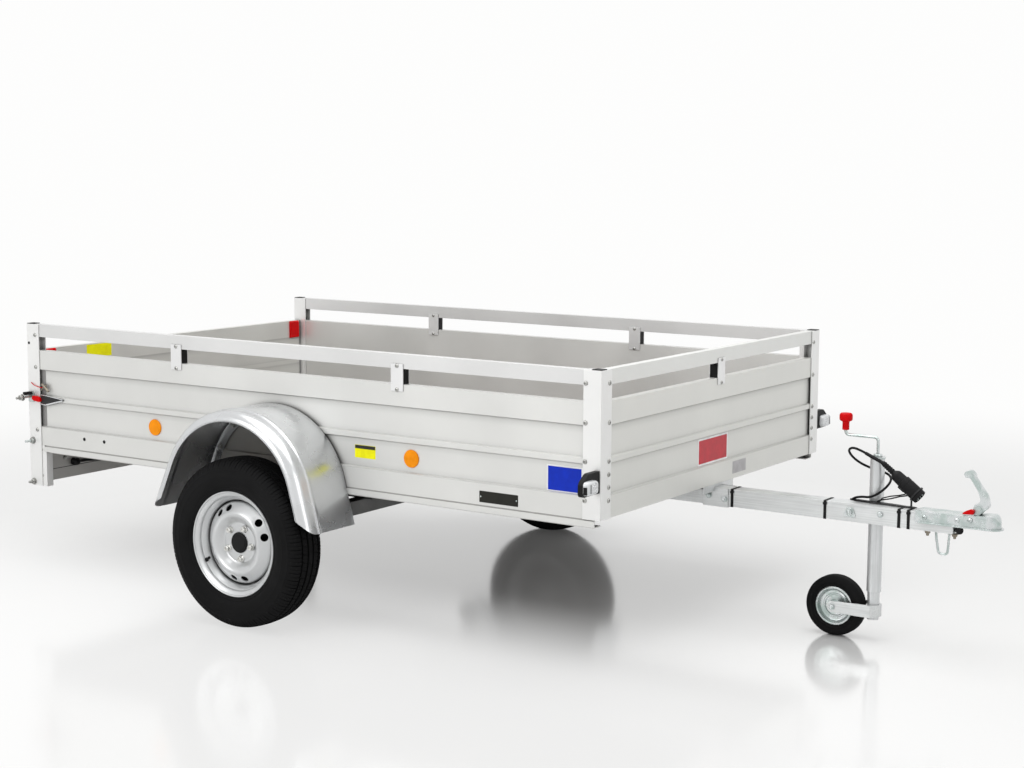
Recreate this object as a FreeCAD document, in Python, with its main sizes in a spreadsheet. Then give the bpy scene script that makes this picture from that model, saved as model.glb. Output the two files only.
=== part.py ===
import FreeCAD, Part
import math
import os

import Sketcher

# Utility trailer: an aluminium box on one axle, with a central drawbar, a jockey wheel and a top rail.
# Millimetres. X points forward to the coupling, Y to the trailer's left, Z up from the ground.
# The frame's origin is on the ground, under the middle of the whole length.

SIZES = {
    # box
    "box_len": 2570,
    "box_wid": 1600,
    "cross_high": 26,
    "floor_lift": 15,
    "band_low": 72,
    "dip_low": 102,
    "rib_high": 17,
    "dip_top": 103,
    "band_top": 73,
    "wall_thick": 29.4,
    "recess": 7,
    "slope": 4,
    "fit_gap": 0.3,
    "pin_gap": 0.05,
    "sheet_thick": 3,
    # corner posts
    "core": 36,
    "core_bore": 28,
    "flange_reach": 64,
    "leg_drop": 159,
    "leg_wid": 88,
    "cap_thick": 2.5,
    "cap_plug": 12,
    # reflectors and front marker lamps
    "reflector_r": 30,
    "reflector_thick": 6,
    "reflector_up": 50,
    "reflector_rear": -620,
    "reflector_front": 553,
    "marker_out": 104,
    "marker_up": 87,
    "marker_high": 70,
    "marker_lens_high": 54,
    "marker_lens_deep": 24,
    "marker_thick": 12,
    "marker_in": 9,
    # rails
    "rail_gap": 52,
    "rail_high": 48,
    "rail_wall": 2.5,
    "plate_wid": 50,
    "plate_under": 23,
    "plate_over": 16,
    "plate_off": 500,
    # underframe
    "floor_thick": 12,
    "floor_gap": 12.3,
    "sill_high": 26,
    "sill_leg": 40,
    "sill_short_rear": 105,
    "sill_short_front": 23,
    "cross_wid": 40,
    "cross_in_rear": 60,
    "cross_in_front": 120,
    "cross_step": 465,
    "cross_behind": 282,
    "cross_over": 78,
    "cross_before": 298,
    "member_off": 560,
    "member_rear": -420,
    "member_front": 720,
    "member_wid": 40,
    # lamp bar
    "bar_lift": 18,
    "bar_high": 111,
    "bar_in": 75,
    "bar_deep": 30,
    "lamp_wid": 230,
    "lamp_high": 96,
    "lamp_deep": 28,
    "lamp_in": 75,
    # tailgate
    "gate_pin_r": 5,
    "gate_pin_out": 38,
    "gate_pin_in": 22,
    "gate_side": 5,
    "gate_clear": 3,
    "latch_out": 77,
    "latch_up": 13,
    "hook_len": 112,
    # axle and wheels
    "axle_x": -18,
    "tyre_high": 110,
    "tyre_wid": 160,
    "wheel_gap": 95,
    "rim_r": 182,
    "rim_wid": 127,
    "disc_off": 27,
    "disc_thick": 5,
    "bulge_r": 112,
    "bulge_out": 53.5,
    "hub_bore": 33.5,
    "vent_r": 15,
    "vent_ring": 127,
    "stud_ring": 56,
    "stud_r": 6.5,
    "mount_high": 15,
    "mount_over": 30,
    "beam_side": 50,
    "beam_over": 16,
    "arm_run": 183,
    "arm_wid": 40,
    "arm_boss": 46,
    "arm_hub": 34,
    "spindle_r": 17.5,
    "hub_r": 42,
    # mudguards
    "guard_clear": 23,
    "guard_lift": 140,
    "guard_back": 10,
    "guard_drop_front": 71,
    "guard_drop_rear": 59,
    "guard_short": 43,
    "guard_lip": 40,
    "guard_roll": 34,
    "guard_corner": 48,
    "guard_thick": 3,
    # drawbar and coupling
    "bar_top": 475,
    "bar_side": 60,
    "bar_rear": -80,
    "bar_out": 845,
    "bar_wall": 4,
    "bracket_wid": 217,
    "bracket_deep": 68,
    "bracket_thick": 4,
    "saddle_len": 95,
    "head_over": 125,
    "head_out": 146,
    "lip_out": 8,
    "head_drop": 35,
    "ball_in": 38,
    "ball_r": 25.3,
    "ball_up": 15,
    "head_thick": 4,
    "lever_wid": 30,
    "loop_in": 43,
    "loop_drop": 75,
    "loop_wid": 29,
    "loop_wire": 8,
    # jockey wheel
    "jack_out": 545,
    "jack_y": 70,
    "jack_r": 24,
    "jack_in_r": 20,
    "jack_low": 168,
    "jack_up": 147,
    "leg_foot": 83,
    "jack_trail": 132,
    "jack_wheel_r": 103,
    "jack_wheel_wid": 58,
    "jack_rim_r": 67,
    "jack_pin_r": 6,
    "swivel_r": 12,
    "fork_thick": 5,
    "fork_high": 42,
    "crank_r": 5,
    "crank_bend": 14,
    "crank_up": 64,
    "crank_reach": 116,
    "knob_up": 16,
    "knob_high": 57,
    # cable and plug
    "cable_d": 8,
    "cable_drop": 23,
    "run_short": 124,
    "sleeve_d": 12,
    "relief_d": 18,
    "plug_d": 48,
    "plug_y": 15,
    "clip_wire": 2,
}

# Degrees from the top of the mudguard's arch to where each straight end begins.
ANGLES = {
    "guard_front_turn": 74,
    "guard_rear_turn": 66,
}


class Size:
    """A length together with its formula, so that a feature can be bound to the sheet."""

    def __init__(self, value, text):
        self.value = float(value)
        self.text = text

    @staticmethod
    def of(other):
        if isinstance(other, Size):
            return other
        return Size(other, repr(float(other)))

    def __add__(self, other):
        other = Size.of(other)
        return Size(self.value + other.value, "(%s + %s)" % (self.text, other.text))

    def __radd__(self, other):
        return Size.of(other) + self

    def __sub__(self, other):
        other = Size.of(other)
        return Size(self.value - other.value, "(%s - %s)" % (self.text, other.text))

    def __rsub__(self, other):
        return Size.of(other) - self

    def __mul__(self, other):
        other = Size.of(other)
        return Size(self.value * other.value, "(%s * %s)" % (self.text, other.text))

    def __rmul__(self, other):
        return Size.of(other) * self

    def __truediv__(self, other):
        other = Size.of(other)
        return Size(self.value / other.value, "(%s / %s)" % (self.text, other.text))

    def __neg__(self):
        return Size(-self.value, "(-1 * %s)" % self.text)


class Names:
    """Each driving dimension by its name."""


doc = FreeCAD.newDocument("trailer")
sheet = doc.addObject("Spreadsheet::Sheet", "Sizes")
s = Names()
for row, (word, number) in enumerate((SIZES | ANGLES).items(), start=1):
    sheet.set("A%d" % row, word)
    sheet.set("B%d" % row, str(number))
    sheet.setAlias("B%d" % row, word)
    setattr(s, word, Size(number, "Sizes." + word))
doc.recompute()

NODES = {}

# Derived heights, from the top of the drawbar up and down.
s.drawbar_low = s.bar_top - s.bar_side
s.floor_low = s.bar_top + s.cross_high
s.wall_low = s.floor_low - s.floor_lift
s.band_low_top = s.wall_low + s.band_low
s.rib_low = s.band_low_top + s.dip_low
s.rib_top = s.rib_low + s.rib_high
s.band_top_low = s.rib_top + s.dip_top
s.wall_top = s.band_top_low + s.band_top
s.post_top = s.wall_top + s.rail_gap + s.rail_high
s.plate_low = s.wall_top - s.plate_under
s.plate_top = s.wall_top + s.rail_gap + s.plate_over
s.sill_low = s.wall_low - s.sill_high
s.leg_low = s.wall_low - s.leg_drop
s.bar_low = s.leg_low + s.bar_lift
s.marker_low = s.wall_low + s.marker_up
s.beam_z = s.drawbar_low - s.mount_high - s.beam_side / 2
s.gate_pin_z = s.floor_low
s.latch_z = s.rib_low + s.latch_up
s.head_low = s.bar_top - s.head_drop
s.ball_z = s.head_low + s.ball_up
s.jack_top = s.bar_top + s.jack_up
s.crank_z = s.jack_top + s.crank_up
s.knob_low = s.crank_z + s.knob_up
s.cable_z = s.bar_top - s.cable_drop
s.tyre_r = s.rim_r + s.tyre_high
s.guard_r = s.tyre_r + s.guard_clear
s.guard_z = s.tyre_r + s.guard_lift
s.guard_low_front = s.guard_z - s.guard_drop_front
s.guard_low_rear = s.guard_z - s.guard_drop_rear

# Derived lengths along X, counted from the middle of the box, which lies at mid_x.
s.half_len = s.box_len / 2
s.skin_front = s.half_len - s.sheet_thick - s.fit_gap
s.saddle_rear = s.skin_front - 42
s.wall_end = s.half_len - s.core - s.fit_gap
s.floor_rear = s.skin_front - s.wall_thick - s.floor_gap
s.sill_rear = s.half_len - s.sill_short_rear
s.sill_front = s.half_len - s.sill_short_front
s.bar_front = s.half_len - s.bar_in
s.bar_end = s.half_len + s.bar_out
s.head_rear = s.bar_end - s.head_over
s.nose = s.bar_end + s.head_out
s.ball_x = s.nose - s.ball_in
s.loop_x = s.bar_end - s.loop_in
s.jack_x = s.half_len + s.jack_out
s.run_end = s.jack_x - s.run_short
s.beam_x = s.axle_x + s.arm_run
s.guard_x = s.axle_x - s.guard_back
s.mid_x = (s.half_len - s.nose - s.lip_out) / 2

# Derived widths.
s.half_wid = s.box_wid / 2
s.skin = s.half_wid - s.sheet_thick - s.fit_gap
s.front_end = s.half_wid - s.core - s.fit_gap
s.wheel_mid = s.half_wid + s.wheel_gap + s.tyre_wid / 2
s.beam_end = s.half_wid + s.beam_over
s.guard_out = s.half_wid + s.wheel_gap + s.tyre_wid - s.guard_short


def bind(thing, prop, size):
    """Set a property and, where the size has a formula, bind it."""
    size = Size.of(size)
    thing.setExpression(prop, size.text)


def place(thing, x=0, y=0, z=0):
    bind(thing, "Placement.Base.x", x)
    bind(thing, "Placement.Base.y", y)
    bind(thing, "Placement.Base.z", z)


def origin_plane(body, role):
    for feature in body.Origin.OriginFeatures:
        if feature.Role == role:
            return feature
    raise ValueError(role)


def number(value):
    return Size.of(value).value


def arc_middle(start, end, radius):
    """Middle point of the short arc between two points; a negative radius turns clockwise."""
    chord = end - start
    half = chord.Length / 2
    reach = abs(radius)
    rise = reach - math.sqrt(max(reach * reach - half * half, 0.0))
    right = FreeCAD.Vector(chord.y, -chord.x, 0)
    right.normalize()
    side = 1 if radius > 0 else -1
    return (start + end) * 0.5 + right * (side * rise)


def pin_point(sketch, geo, pos, x, y):
    """Fix one end of a sketch line at a place given by two sizes."""
    for axis, value, kind in ((-2, x, "DistanceX"), (-1, y, "DistanceY")):
        value = Size.of(value)
        if abs(value.value) < 1e-9:
            sketch.addConstraint(Sketcher.Constraint("PointOnObject", geo, pos, axis))
            continue
        index = sketch.addConstraint(Sketcher.Constraint(kind, -1, 1, geo, pos, value.value))
        sketch.setExpression("Constraints[%d]" % index, value.text)


def add_loop(sketch, points):
    """A closed outline. A point is (x, y), or (x, y, r) where an arc of radius r leads to the next."""
    first = sketch.GeometryCount
    spots = [FreeCAD.Vector(number(p[0]), number(p[1]), 0) for p in points]
    ends = []
    for i, point in enumerate(points):
        start = spots[i]
        end = spots[(i + 1) % len(points)]
        if len(point) == 3:
            middle = arc_middle(start, end, number(point[2]))
            curve = Part.Arc(start, middle, end) if number(point[2]) > 0 else Part.Arc(end, middle, start)
        else:
            curve = Part.LineSegment(start, end)
        geo = sketch.addGeometry(curve, False)
        forward = (sketch.Geometry[geo].StartPoint - start).Length < 1e-6
        ends.append((geo, 1, 2) if forward else (geo, 2, 1))
        if len(point) == 3:
            radius = Size.of(point[2])
            index = sketch.addConstraint(Sketcher.Constraint("Radius", geo, abs(radius.value)))
            sketch.setExpression("Constraints[%d]" % index, "abs(%s)" % radius.text)
    for i, point in enumerate(points):
        geo, head, tail = ends[i]
        before, head_before, tail_before = ends[i - 1]
        sketch.addConstraint(Sketcher.Constraint("Coincident", before, tail_before, geo, head))
        pin_point(sketch, geo, head, point[0], point[1])
    return first


def add_circle(sketch, x, y, radius):
    centre = FreeCAD.Vector(number(x), number(y), 0)
    geo = sketch.addGeometry(Part.Circle(centre, FreeCAD.Vector(0, 0, 1), number(radius)), False)
    pin_point(sketch, geo, 3, x, y)
    index = sketch.addConstraint(Sketcher.Constraint("Radius", geo, number(radius)))
    sketch.setExpression("Constraints[%d]" % index, Size.of(radius).text)


def new_sketch(body, role, name):
    sketch = body.newObject("Sketcher::SketchObject", name)
    sketch.AttachmentSupport = (origin_plane(body, role), [""])
    sketch.MapMode = "FlatFace"
    return sketch


def prism(name, role, outline, length, at, holes=(), circles=()):
    """A profile on one origin plane, padded along its normal: +X on YZ, +Y on XZ, +Z on XY."""
    body = doc.addObject("PartDesign::Body", name)
    sketch = new_sketch(body, role, name + "_profile")
    add_loop(sketch, outline)
    for hole in holes:
        add_loop(sketch, hole)
    for circle in circles:
        add_circle(sketch, *circle)
    pad = body.newObject("PartDesign::Pad", name + "_pad")
    pad.Profile = sketch
    bind(pad, "Length", length)
    pad.Reversed = role == "XZ_Plane"
    place(body, *at)
    return body


def turned(name, outline, at, axis="y"):
    """A profile turned about the piece's own Y axis, or about Z. The outline's x is the radius."""
    body = doc.addObject("PartDesign::Body", name)
    sketch = new_sketch(body, "XY_Plane" if axis == "y" else "XZ_Plane", name + "_profile")
    add_loop(sketch, outline)
    turn = body.newObject("PartDesign::Revolution", name + "_turn")
    turn.Profile = sketch
    turn.ReferenceAxis = (sketch, ["V_Axis"])
    turn.Angle = 360
    place(body, *at)
    return body


def block(name, length, width, height, x, y, z):
    """A plain block, placed by its low corner."""
    box = doc.addObject("Part::Box", name)
    bind(box, "Length", length)
    bind(box, "Width", width)
    bind(box, "Height", height)
    place(box, x, y, z)
    return box


TURN_TO = {
    "x": FreeCAD.Rotation(FreeCAD.Vector(0, 1, 0), 90),
    "y": FreeCAD.Rotation(FreeCAD.Vector(1, 0, 0), -90),
    "z": FreeCAD.Rotation(),
}


def rod(name, radius, length, axis, x, y, z):
    """A cylinder from a point along an axis."""
    cylinder = doc.addObject("Part::Cylinder", name)
    bind(cylinder, "Radius", radius)
    bind(cylinder, "Height", length)
    cylinder.Placement = FreeCAD.Placement(FreeCAD.Vector(), TURN_TO[axis])
    place(cylinder, x, y, z)
    return cylinder


def cut(name, base, tools):
    result = base
    for i, tool in enumerate(tools):
        last = i == len(tools) - 1
        step = doc.addObject("Part::Cut", name if last else "%s_cut%d" % (name, i))
        step.Base = result
        step.Tool = tool
        result = step
    return result


def fuse(name, pieces):
    union = doc.addObject("Part::MultiFuse", name)
    union.Shapes = pieces
    union.Refine = True
    return union


def common(name, pieces):
    both = doc.addObject("Part::MultiCommon", name)
    both.Shapes = pieces
    return both


def group(name, pieces):
    """Like pieces that don't touch and share one node."""
    several = doc.addObject("Part::Compound", name)
    several.Links = pieces
    return several


def node(name, thing):
    thing.Label = name
    NODES[name] = thing


def box_x(x):
    """A place along the trailer, counted from the middle of the box."""
    return s.mid_x + x


def wall_outline(across, top, low, side):
    """Cross-section of a wall, as (across, height): two bands and a rib stand proud of the recesses."""
    skin = side * across
    back = side * (across - s.wall_thick)
    dip = side * (across - s.recess)
    return [
        (back, low),
        (skin, low),
        (skin, s.band_low_top),
        (dip, s.band_low_top + s.slope),
        (dip, s.rib_low - s.slope),
        (skin, s.rib_low),
        (skin, s.rib_top),
        (dip, s.rib_top + s.slope),
        (dip, s.band_top_low - s.slope),
        (skin, s.band_top_low),
        (skin, top),
        (back, top),
    ]


def make_walls():
    for name, side in (("side_wall_right", -1), ("side_wall_left", 1)):
        outline = wall_outline(s.skin, s.wall_top, s.wall_low, side)
        wall = prism(name + "_body", "YZ_Plane", outline, 2 * s.wall_end, (box_x(-s.wall_end), 0, 0))
        node(name, wall)
    outline = wall_outline(s.skin_front, s.wall_top, s.wall_low, 1)
    front = prism("front_wall_body", "XZ_Plane", outline, 2 * s.front_end, (box_x(0), -s.front_end, 0))
    node("front_wall", front)


def post_outline(sx, sy, both_ways):
    """Plan of a corner post: a square core with a pair of flanges that holds each wall's end."""
    reach = s.flange_reach
    core = s.core
    thin = s.sheet_thick
    inner = core - thin
    along = [
        (0, 0),
        (reach, 0),
        (reach, thin),
        (core, thin),
        (core, inner),
        (reach, inner),
        (reach, core),
        (core, core),
    ]
    across = [
        (core, reach),
        (inner, reach),
        (inner, core),
        (thin, core),
        (thin, reach),
        (0, reach),
    ]
    points = along[:-1] + [(core, core)] + across if both_ways else along[:-1] + [(0, core)]
    return [(-sx * Size.of(u), -sy * Size.of(v)) for u, v in points]


def make_posts():
    """Hollow corner posts. The rear pair reaches down as legs, each with a stiffener beside it."""
    edge = (s.core - s.core_bore) / 2
    far = edge + s.core_bore
    for end, sx in (("front", 1), ("rear", -1)):
        posts = []
        for hand, sy in (("right", -1), ("left", 1)):
            name = "post_%s_%s" % (end, hand)
            low = s.wall_low if end == "front" else s.leg_low
            hole = [(-sx * u, -sy * v) for u, v in ((edge, edge), (far, edge), (far, far), (edge, far))]
            outline = post_outline(sx, sy, end == "front")
            corner = (box_x(sx * s.half_len), sy * s.half_wid, low)
            post = prism(name + "_body", "XY_Plane", outline, s.post_top - low, corner, holes=[hole])
            if end == "rear":
                post = finish_rear_post(name, post, sy)
            posts.append(post)
        node(end + "_posts", group(end + "_posts_set", posts))


def finish_rear_post(name, post, sy):
    reach = s.core + 2
    start = s.half_wid - s.core - 1 if sy > 0 else -s.half_wid - 1
    bore = rod(name + "_bore", s.gate_pin_r + s.pin_gap, reach, "y", gate_pin_x(), start, s.gate_pin_z)
    bored = cut(name + "_bored", post, [bore])
    wide = s.leg_wid - s.core
    deep = s.core - 2 * s.sheet_thick
    t = s.sheet_thick
    outline = [(0, 0), (wide, 0), (wide, deep), (0, deep)]
    hole = [(t, t), (wide - t, t), (wide - t, deep - t), (t, deep - t)]
    y = s.half_wid - s.core + t if sy > 0 else -s.half_wid + t
    at = (box_x(-s.half_len + s.core), y, s.leg_low)
    box = prism(name + "_stiffener", "XY_Plane", outline, s.wall_low - s.fit_gap - s.leg_low, at, holes=[hole])
    return fuse(name + "_leg", [bored, box])


def gate_pin_x():
    return box_x(-(s.skin_front - s.wall_thick / 2))


def make_caps():
    caps = []
    plug = s.core_bore - 2 * s.fit_gap
    for i, (sx, sy) in enumerate(((1, -1), (1, 1), (-1, -1), (-1, 1))):
        x = box_x(sx * (s.half_len - s.core / 2))
        y = sy * (s.half_wid - s.core / 2)
        lid = block("cap_lid%d" % i, s.core - 2, s.core - 2, s.cap_thick, x - s.core / 2 + 1, y - s.core / 2 + 1,
                    s.post_top)
        stem = block("cap_stem%d" % i, plug, plug, s.cap_plug, x - plug / 2, y - plug / 2, s.post_top - s.cap_plug)
        caps.append(fuse("cap%d" % i, [lid, stem]))
    node("post_caps", group("post_caps_set", caps))


def rail_profile(across, side):
    """Cross-section of a rail tube, as (across, height), with its bore."""
    low = s.post_top - s.rail_high
    near = side * across
    back = side * (across - s.wall_thick)
    outline = [(back, low), (near, low), (near, s.post_top), (back, s.post_top)]
    t = s.rail_wall
    near_in = side * (across - t)
    back_in = side * (across - s.wall_thick + t)
    bore = [(back_in, low + t), (near_in, low + t), (near_in, s.post_top - t), (back_in, s.post_top - t)]
    return outline, bore


def make_rails():
    rails = []
    for hand, side in (("right", -1), ("left", 1)):
        outline, bore = rail_profile(s.skin, side)
        name = "rail_" + hand
        rails.append(prism(name, "YZ_Plane", outline, 2 * s.wall_end, (box_x(-s.wall_end), 0, 0), holes=[bore]))
    node("side_rails", group("side_rails_set", rails))
    outline, bore = rail_profile(s.skin_front, 1)
    front = prism("rail_front", "XZ_Plane", outline, 2 * s.front_end, (box_x(0), -s.front_end, 0), holes=[bore])
    node("front_rail", front)


def make_rail_brackets():
    """Two plates clamp a black spacer between wall and rail, twice a side and once in front."""
    plates = []
    spacers = []
    high = s.plate_top - s.plate_low
    gap = s.post_top - s.rail_high - s.wall_top - 2 * s.fit_gap
    thin = s.sheet_thick
    wide = s.plate_wid
    spots = [(sx, side) for sx in (-1, 1) for side in (-1, 1)]
    for sx, side in spots:
        tag = "%d%d" % (sx > 0, side > 0)
        x = box_x(sx * s.plate_off) - wide / 2
        for layer, inner in (("out", s.skin + s.fit_gap), ("in", s.skin - s.wall_thick - s.fit_gap - thin)):
            low_y = side * inner if side > 0 else side * (inner + thin)
            plates.append(block("plate_%s%s" % (layer, tag), wide, thin, high, x, low_y, s.plate_low))
        low_y = side * s.skin if side < 0 else side * (s.skin - s.wall_thick)
        spacers.append(block("spacer%s" % tag, wide - 2, s.wall_thick, gap, x + 1, low_y, s.wall_top + s.fit_gap))
    y = -wide / 2
    for layer, inner in (("out", s.skin_front + s.fit_gap), ("in", s.skin_front - s.wall_thick - s.fit_gap - thin)):
        plates.append(block("plate_front_" + layer, thin, wide, high, box_x(inner), y, s.plate_low))
    spacers.append(block("spacer_front", s.wall_thick, wide - 2, gap, box_x(s.skin_front - s.wall_thick), y + 1,
                         s.wall_top + s.fit_gap))
    node("rail_plates", group("rail_plates_set", plates))
    node("rail_spacers", group("rail_spacers_set", spacers))


def make_floor():
    side = s.half_wid - s.core - s.fit_gap
    front = s.half_len - s.core - s.fit_gap
    floor = block("floor", s.floor_rear + front, 2 * side, s.floor_thick, box_x(-s.floor_rear), -side, s.floor_low)
    node("floor_panel", floor)


def channel(open_to, low, high, web, reach, thick):
    """C-section as (across, height): the web stands at web, both legs run to web + open_to * reach."""
    inner = web + open_to * thick
    tip = web + open_to * reach
    return [
        (web, low),
        (tip, low),
        (tip, low + thick),
        (inner, low + thick),
        (inner, high - thick),
        (tip, high - thick),
        (tip, high),
        (web, high),
    ]


def make_sills():
    sills = []
    for hand, side in (("right", -1), ("left", 1)):
        outline = channel(-side, s.sill_low, s.wall_low, side * s.skin, s.sill_leg, s.sheet_thick)
        length = s.sill_rear + s.sill_front
        sills.append(prism("sill_" + hand, "YZ_Plane", outline, length, (box_x(-s.sill_rear), 0, 0)))
    node("side_sills", group("side_sills_set", sills))


def cross_places():
    """Where the cross-members stand: at both ends of the box, over the axle and between."""
    rear = -s.half_len + s.cross_in_rear
    front = s.half_len - s.cross_in_front
    about = (s.axle_x - s.cross_behind, s.axle_x + s.cross_over, s.axle_x + s.cross_before)
    return (rear, rear + s.cross_step) + about + (s.member_front, front)


def make_cross_members():
    members = []
    side = s.skin - s.sill_leg - s.fit_gap
    for i, place_x in enumerate(cross_places()):
        outline = channel(1, s.bar_top, s.floor_low, place_x, s.cross_wid, s.sheet_thick)
        members.append(prism("cross%d" % i, "XZ_Plane", outline, 2 * side, (box_x(0), -side, 0)))
    node("cross_members", group("cross_members_set", members))


def make_side_members():
    members = []
    length = s.member_front - s.member_rear
    low = s.drawbar_low
    for hand, side in (("right", -1), ("left", 1)):
        outline = channel(-side, low, s.bar_top, side * (s.member_off + s.member_wid / 2), s.member_wid, s.sheet_thick)
        members.append(prism("member_" + hand, "YZ_Plane", outline, length, (box_x(s.member_rear), 0, 0)))
    node("side_members", group("side_members_set", members))


def make_lamp_bar():
    half = s.half_wid - s.core - s.fit_gap
    low = s.bar_low
    outline = channel(-1, low, low + s.bar_high, -s.bar_front, s.bar_deep, s.sheet_thick)
    bar = prism("lamp_bar_body", "XZ_Plane", outline, 2 * half, (box_x(0), -half, 0))
    node("lamp_bar", bar)
    lamps = []
    for hand, side in (("right", -1), ("left", 1)):
        y = side * (s.half_wid - s.lamp_in - s.lamp_wid / 2) - s.lamp_wid / 2
        x = box_x(-s.bar_front - s.sheet_thick - s.fit_gap - s.lamp_deep)
        z = low + s.sheet_thick + s.fit_gap
        lamps.append(block("rear_lamp_" + hand, s.lamp_deep, s.lamp_wid, s.lamp_high, x, y, z))
    node("rear_lamps", group("rear_lamps_set", lamps))


def make_tailgate():
    side = s.half_wid - s.core - s.gate_side
    low = s.wall_low + s.gate_clear
    outline = [(-x, z) for x, z in wall_outline(s.skin_front, s.wall_top, low, 1)]
    panel = prism("gate_panel", "XZ_Plane", outline, 2 * side, (box_x(0), -side, 0))
    depth = s.gate_pin_in
    bore_r = s.gate_pin_r + s.pin_gap
    bores = [
        rod("gate_bore_right", bore_r, depth, "y", gate_pin_x(), -side - 1, s.gate_pin_z),
        rod("gate_bore_left", bore_r, depth, "y", gate_pin_x(), side + 1 - depth, s.gate_pin_z),
    ]
    node("tailgate", cut("tailgate_bored", panel, bores))
    pins = []
    reach = s.gate_pin_out + s.core + s.gate_pin_in - 3
    for hand, side in (("right", -1), ("left", 1)):
        start = -s.half_wid - s.gate_pin_out if side < 0 else s.half_wid + s.gate_pin_out - reach
        pin = rod("gate_pin_" + hand, s.gate_pin_r, reach, "y", gate_pin_x(), start, s.gate_pin_z)
        nut_y = -s.half_wid - 9 if side < 0 else s.half_wid + 1
        nut = rod("gate_nut_" + hand, s.gate_pin_r + 5, 8, "y", gate_pin_x(), nut_y, s.gate_pin_z)
        pins.append(fuse("gate_pivot_" + hand, [pin, nut]))
    node("gate_pins", group("gate_pins_set", pins))


def make_axle():
    beam = s.beam_side
    tube = block("beam_tube", beam, 2 * s.beam_end, beam, box_x(s.beam_x - beam / 2), -s.beam_end, s.beam_z - beam / 2)
    mounts = [tube]
    low = s.beam_z + beam / 2
    for name, y, wide in (("right", -s.member_off, 36), ("left", s.member_off, 36), ("mid", Size.of(0), 50)):
        x = box_x(s.beam_x - beam / 2 - s.mount_over)
        mounts.append(block("mount_" + name, beam + 2 * s.mount_over, wide, s.drawbar_low - low, x, y - wide / 2, low))
    node("axle_beam", fuse("axle_beam", mounts))
    arms = []
    for hand, side in (("right", -1), ("left", 1)):
        arms.append(make_arm(hand, side))
        make_wheel(hand, side)
    node("swing_arms", group("swing_arms_set", arms))


def make_arm(hand, side):
    """Trailing arm: a boss on the beam's end, a tapered web back to the hub, and the wheel's spindle."""
    inner = s.beam_end + s.fit_gap
    low_y = inner if side > 0 else -inner - s.arm_wid
    boss = rod("arm_boss_" + hand, s.arm_boss, s.arm_wid, "y", box_x(s.beam_x), low_y, s.beam_z)
    eye = rod("arm_eye_" + hand, s.arm_hub, s.arm_wid, "y", box_x(s.axle_x), low_y, s.tyre_r)
    run = s.beam_x - s.axle_x
    drop = s.beam_z - s.tyre_r
    slant = math.atan2(drop.value, run.value)
    up = (-math.sin(slant), math.cos(slant))
    outline = []
    for x, z, r, sign in ((s.beam_x, s.beam_z, s.arm_boss, 1), (s.axle_x, s.tyre_r, s.arm_hub, 1),
                          (s.axle_x, s.tyre_r, s.arm_hub, -1), (s.beam_x, s.beam_z, s.arm_boss, -1)):
        outline.append((x + sign * up[0] * (r - 2), z + sign * up[1] * (r - 2)))
    web = prism("arm_web_" + hand, "XZ_Plane", outline, s.arm_wid, (box_x(0), low_y, 0))
    length = s.wheel_mid + s.disc_off - s.disc_thick - 2 - inner - 2
    spindle_y = inner + 2 if side > 0 else -inner - 2 - length
    spindle = rod("arm_spindle_" + hand, s.spindle_r, length, "y", box_x(s.axle_x), spindle_y, s.tyre_r)
    return fuse("swing_arm_" + hand, [boss, eye, web, spindle])


VENT_ANGLES = (15, 37, 106, 128, 196, 218, 262, 286)


def make_wheel(hand, side):
    """Steel wheel: a dished disc with a raised ring and vents, its tyre, hub and centre cap."""
    centre = (box_x(s.axle_x), side * s.wheel_mid, s.tyre_r)
    node("tyre_" + hand, turned("tyre_body_" + hand, tyre_profile(), centre))
    barrel = turned("rim_barrel_" + hand, rim_profile(side), centre)
    disc = turned("rim_disc_" + hand, disc_profile(side), centre)
    middle = turned("hub_body_" + hand, hub_profile(side), centre)
    holes = []
    start = side * s.wheel_mid if side > 0 else -s.wheel_mid - s.bulge_out - 10
    for i, angle in enumerate(VENT_ANGLES):
        turn = math.radians(angle)
        x = s.vent_ring * math.cos(turn)
        z = s.vent_ring * math.sin(turn)
        holes.append(rod("vent_%s%d" % (hand, i), s.vent_r, s.bulge_out + 10, "y", centre[0] + x, start,
                         centre[2] + z))
    vented = cut("rim_vented_" + hand, disc, holes)
    studs = []
    length = s.disc_thick + 14
    base = side * (s.wheel_mid + s.disc_off - s.disc_thick) if side > 0 else -s.wheel_mid - s.disc_off - 14
    for i in range(5):
        turn = math.radians(72 * i - 9)
        x = s.stud_ring * math.cos(turn)
        z = s.stud_ring * math.sin(turn)
        studs.append(rod("stud_%s%d" % (hand, i), s.stud_r, length, "y", centre[0] + x, base, centre[2] + z))
    node("wheel_rim_" + hand, fuse("wheel_rim_" + hand, [barrel, vented, middle] + studs))
    base = s.disc_off - s.disc_thick + s.fit_gap
    wide = s.hub_bore - s.fit_gap
    cap = [
        (0, base),
        (wide, base),
        (wide, s.disc_off + 2),
        (wide - 4, s.disc_off + 5),
        (0, s.disc_off + 6),
    ]
    node("hub_cap_" + hand, turned("hub_cap_body_" + hand, outward(cap, side), centre))


def outward(outline, side):
    """An outline drawn for the left wheel, as it is on either side; an arc keeps its bulge."""
    points = []
    for point in outline:
        flipped = (point[0], side * Size.of(point[1]))
        points.append(flipped + (side * Size.of(point[2]),) if len(point) == 3 else flipped)
    return points


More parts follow.
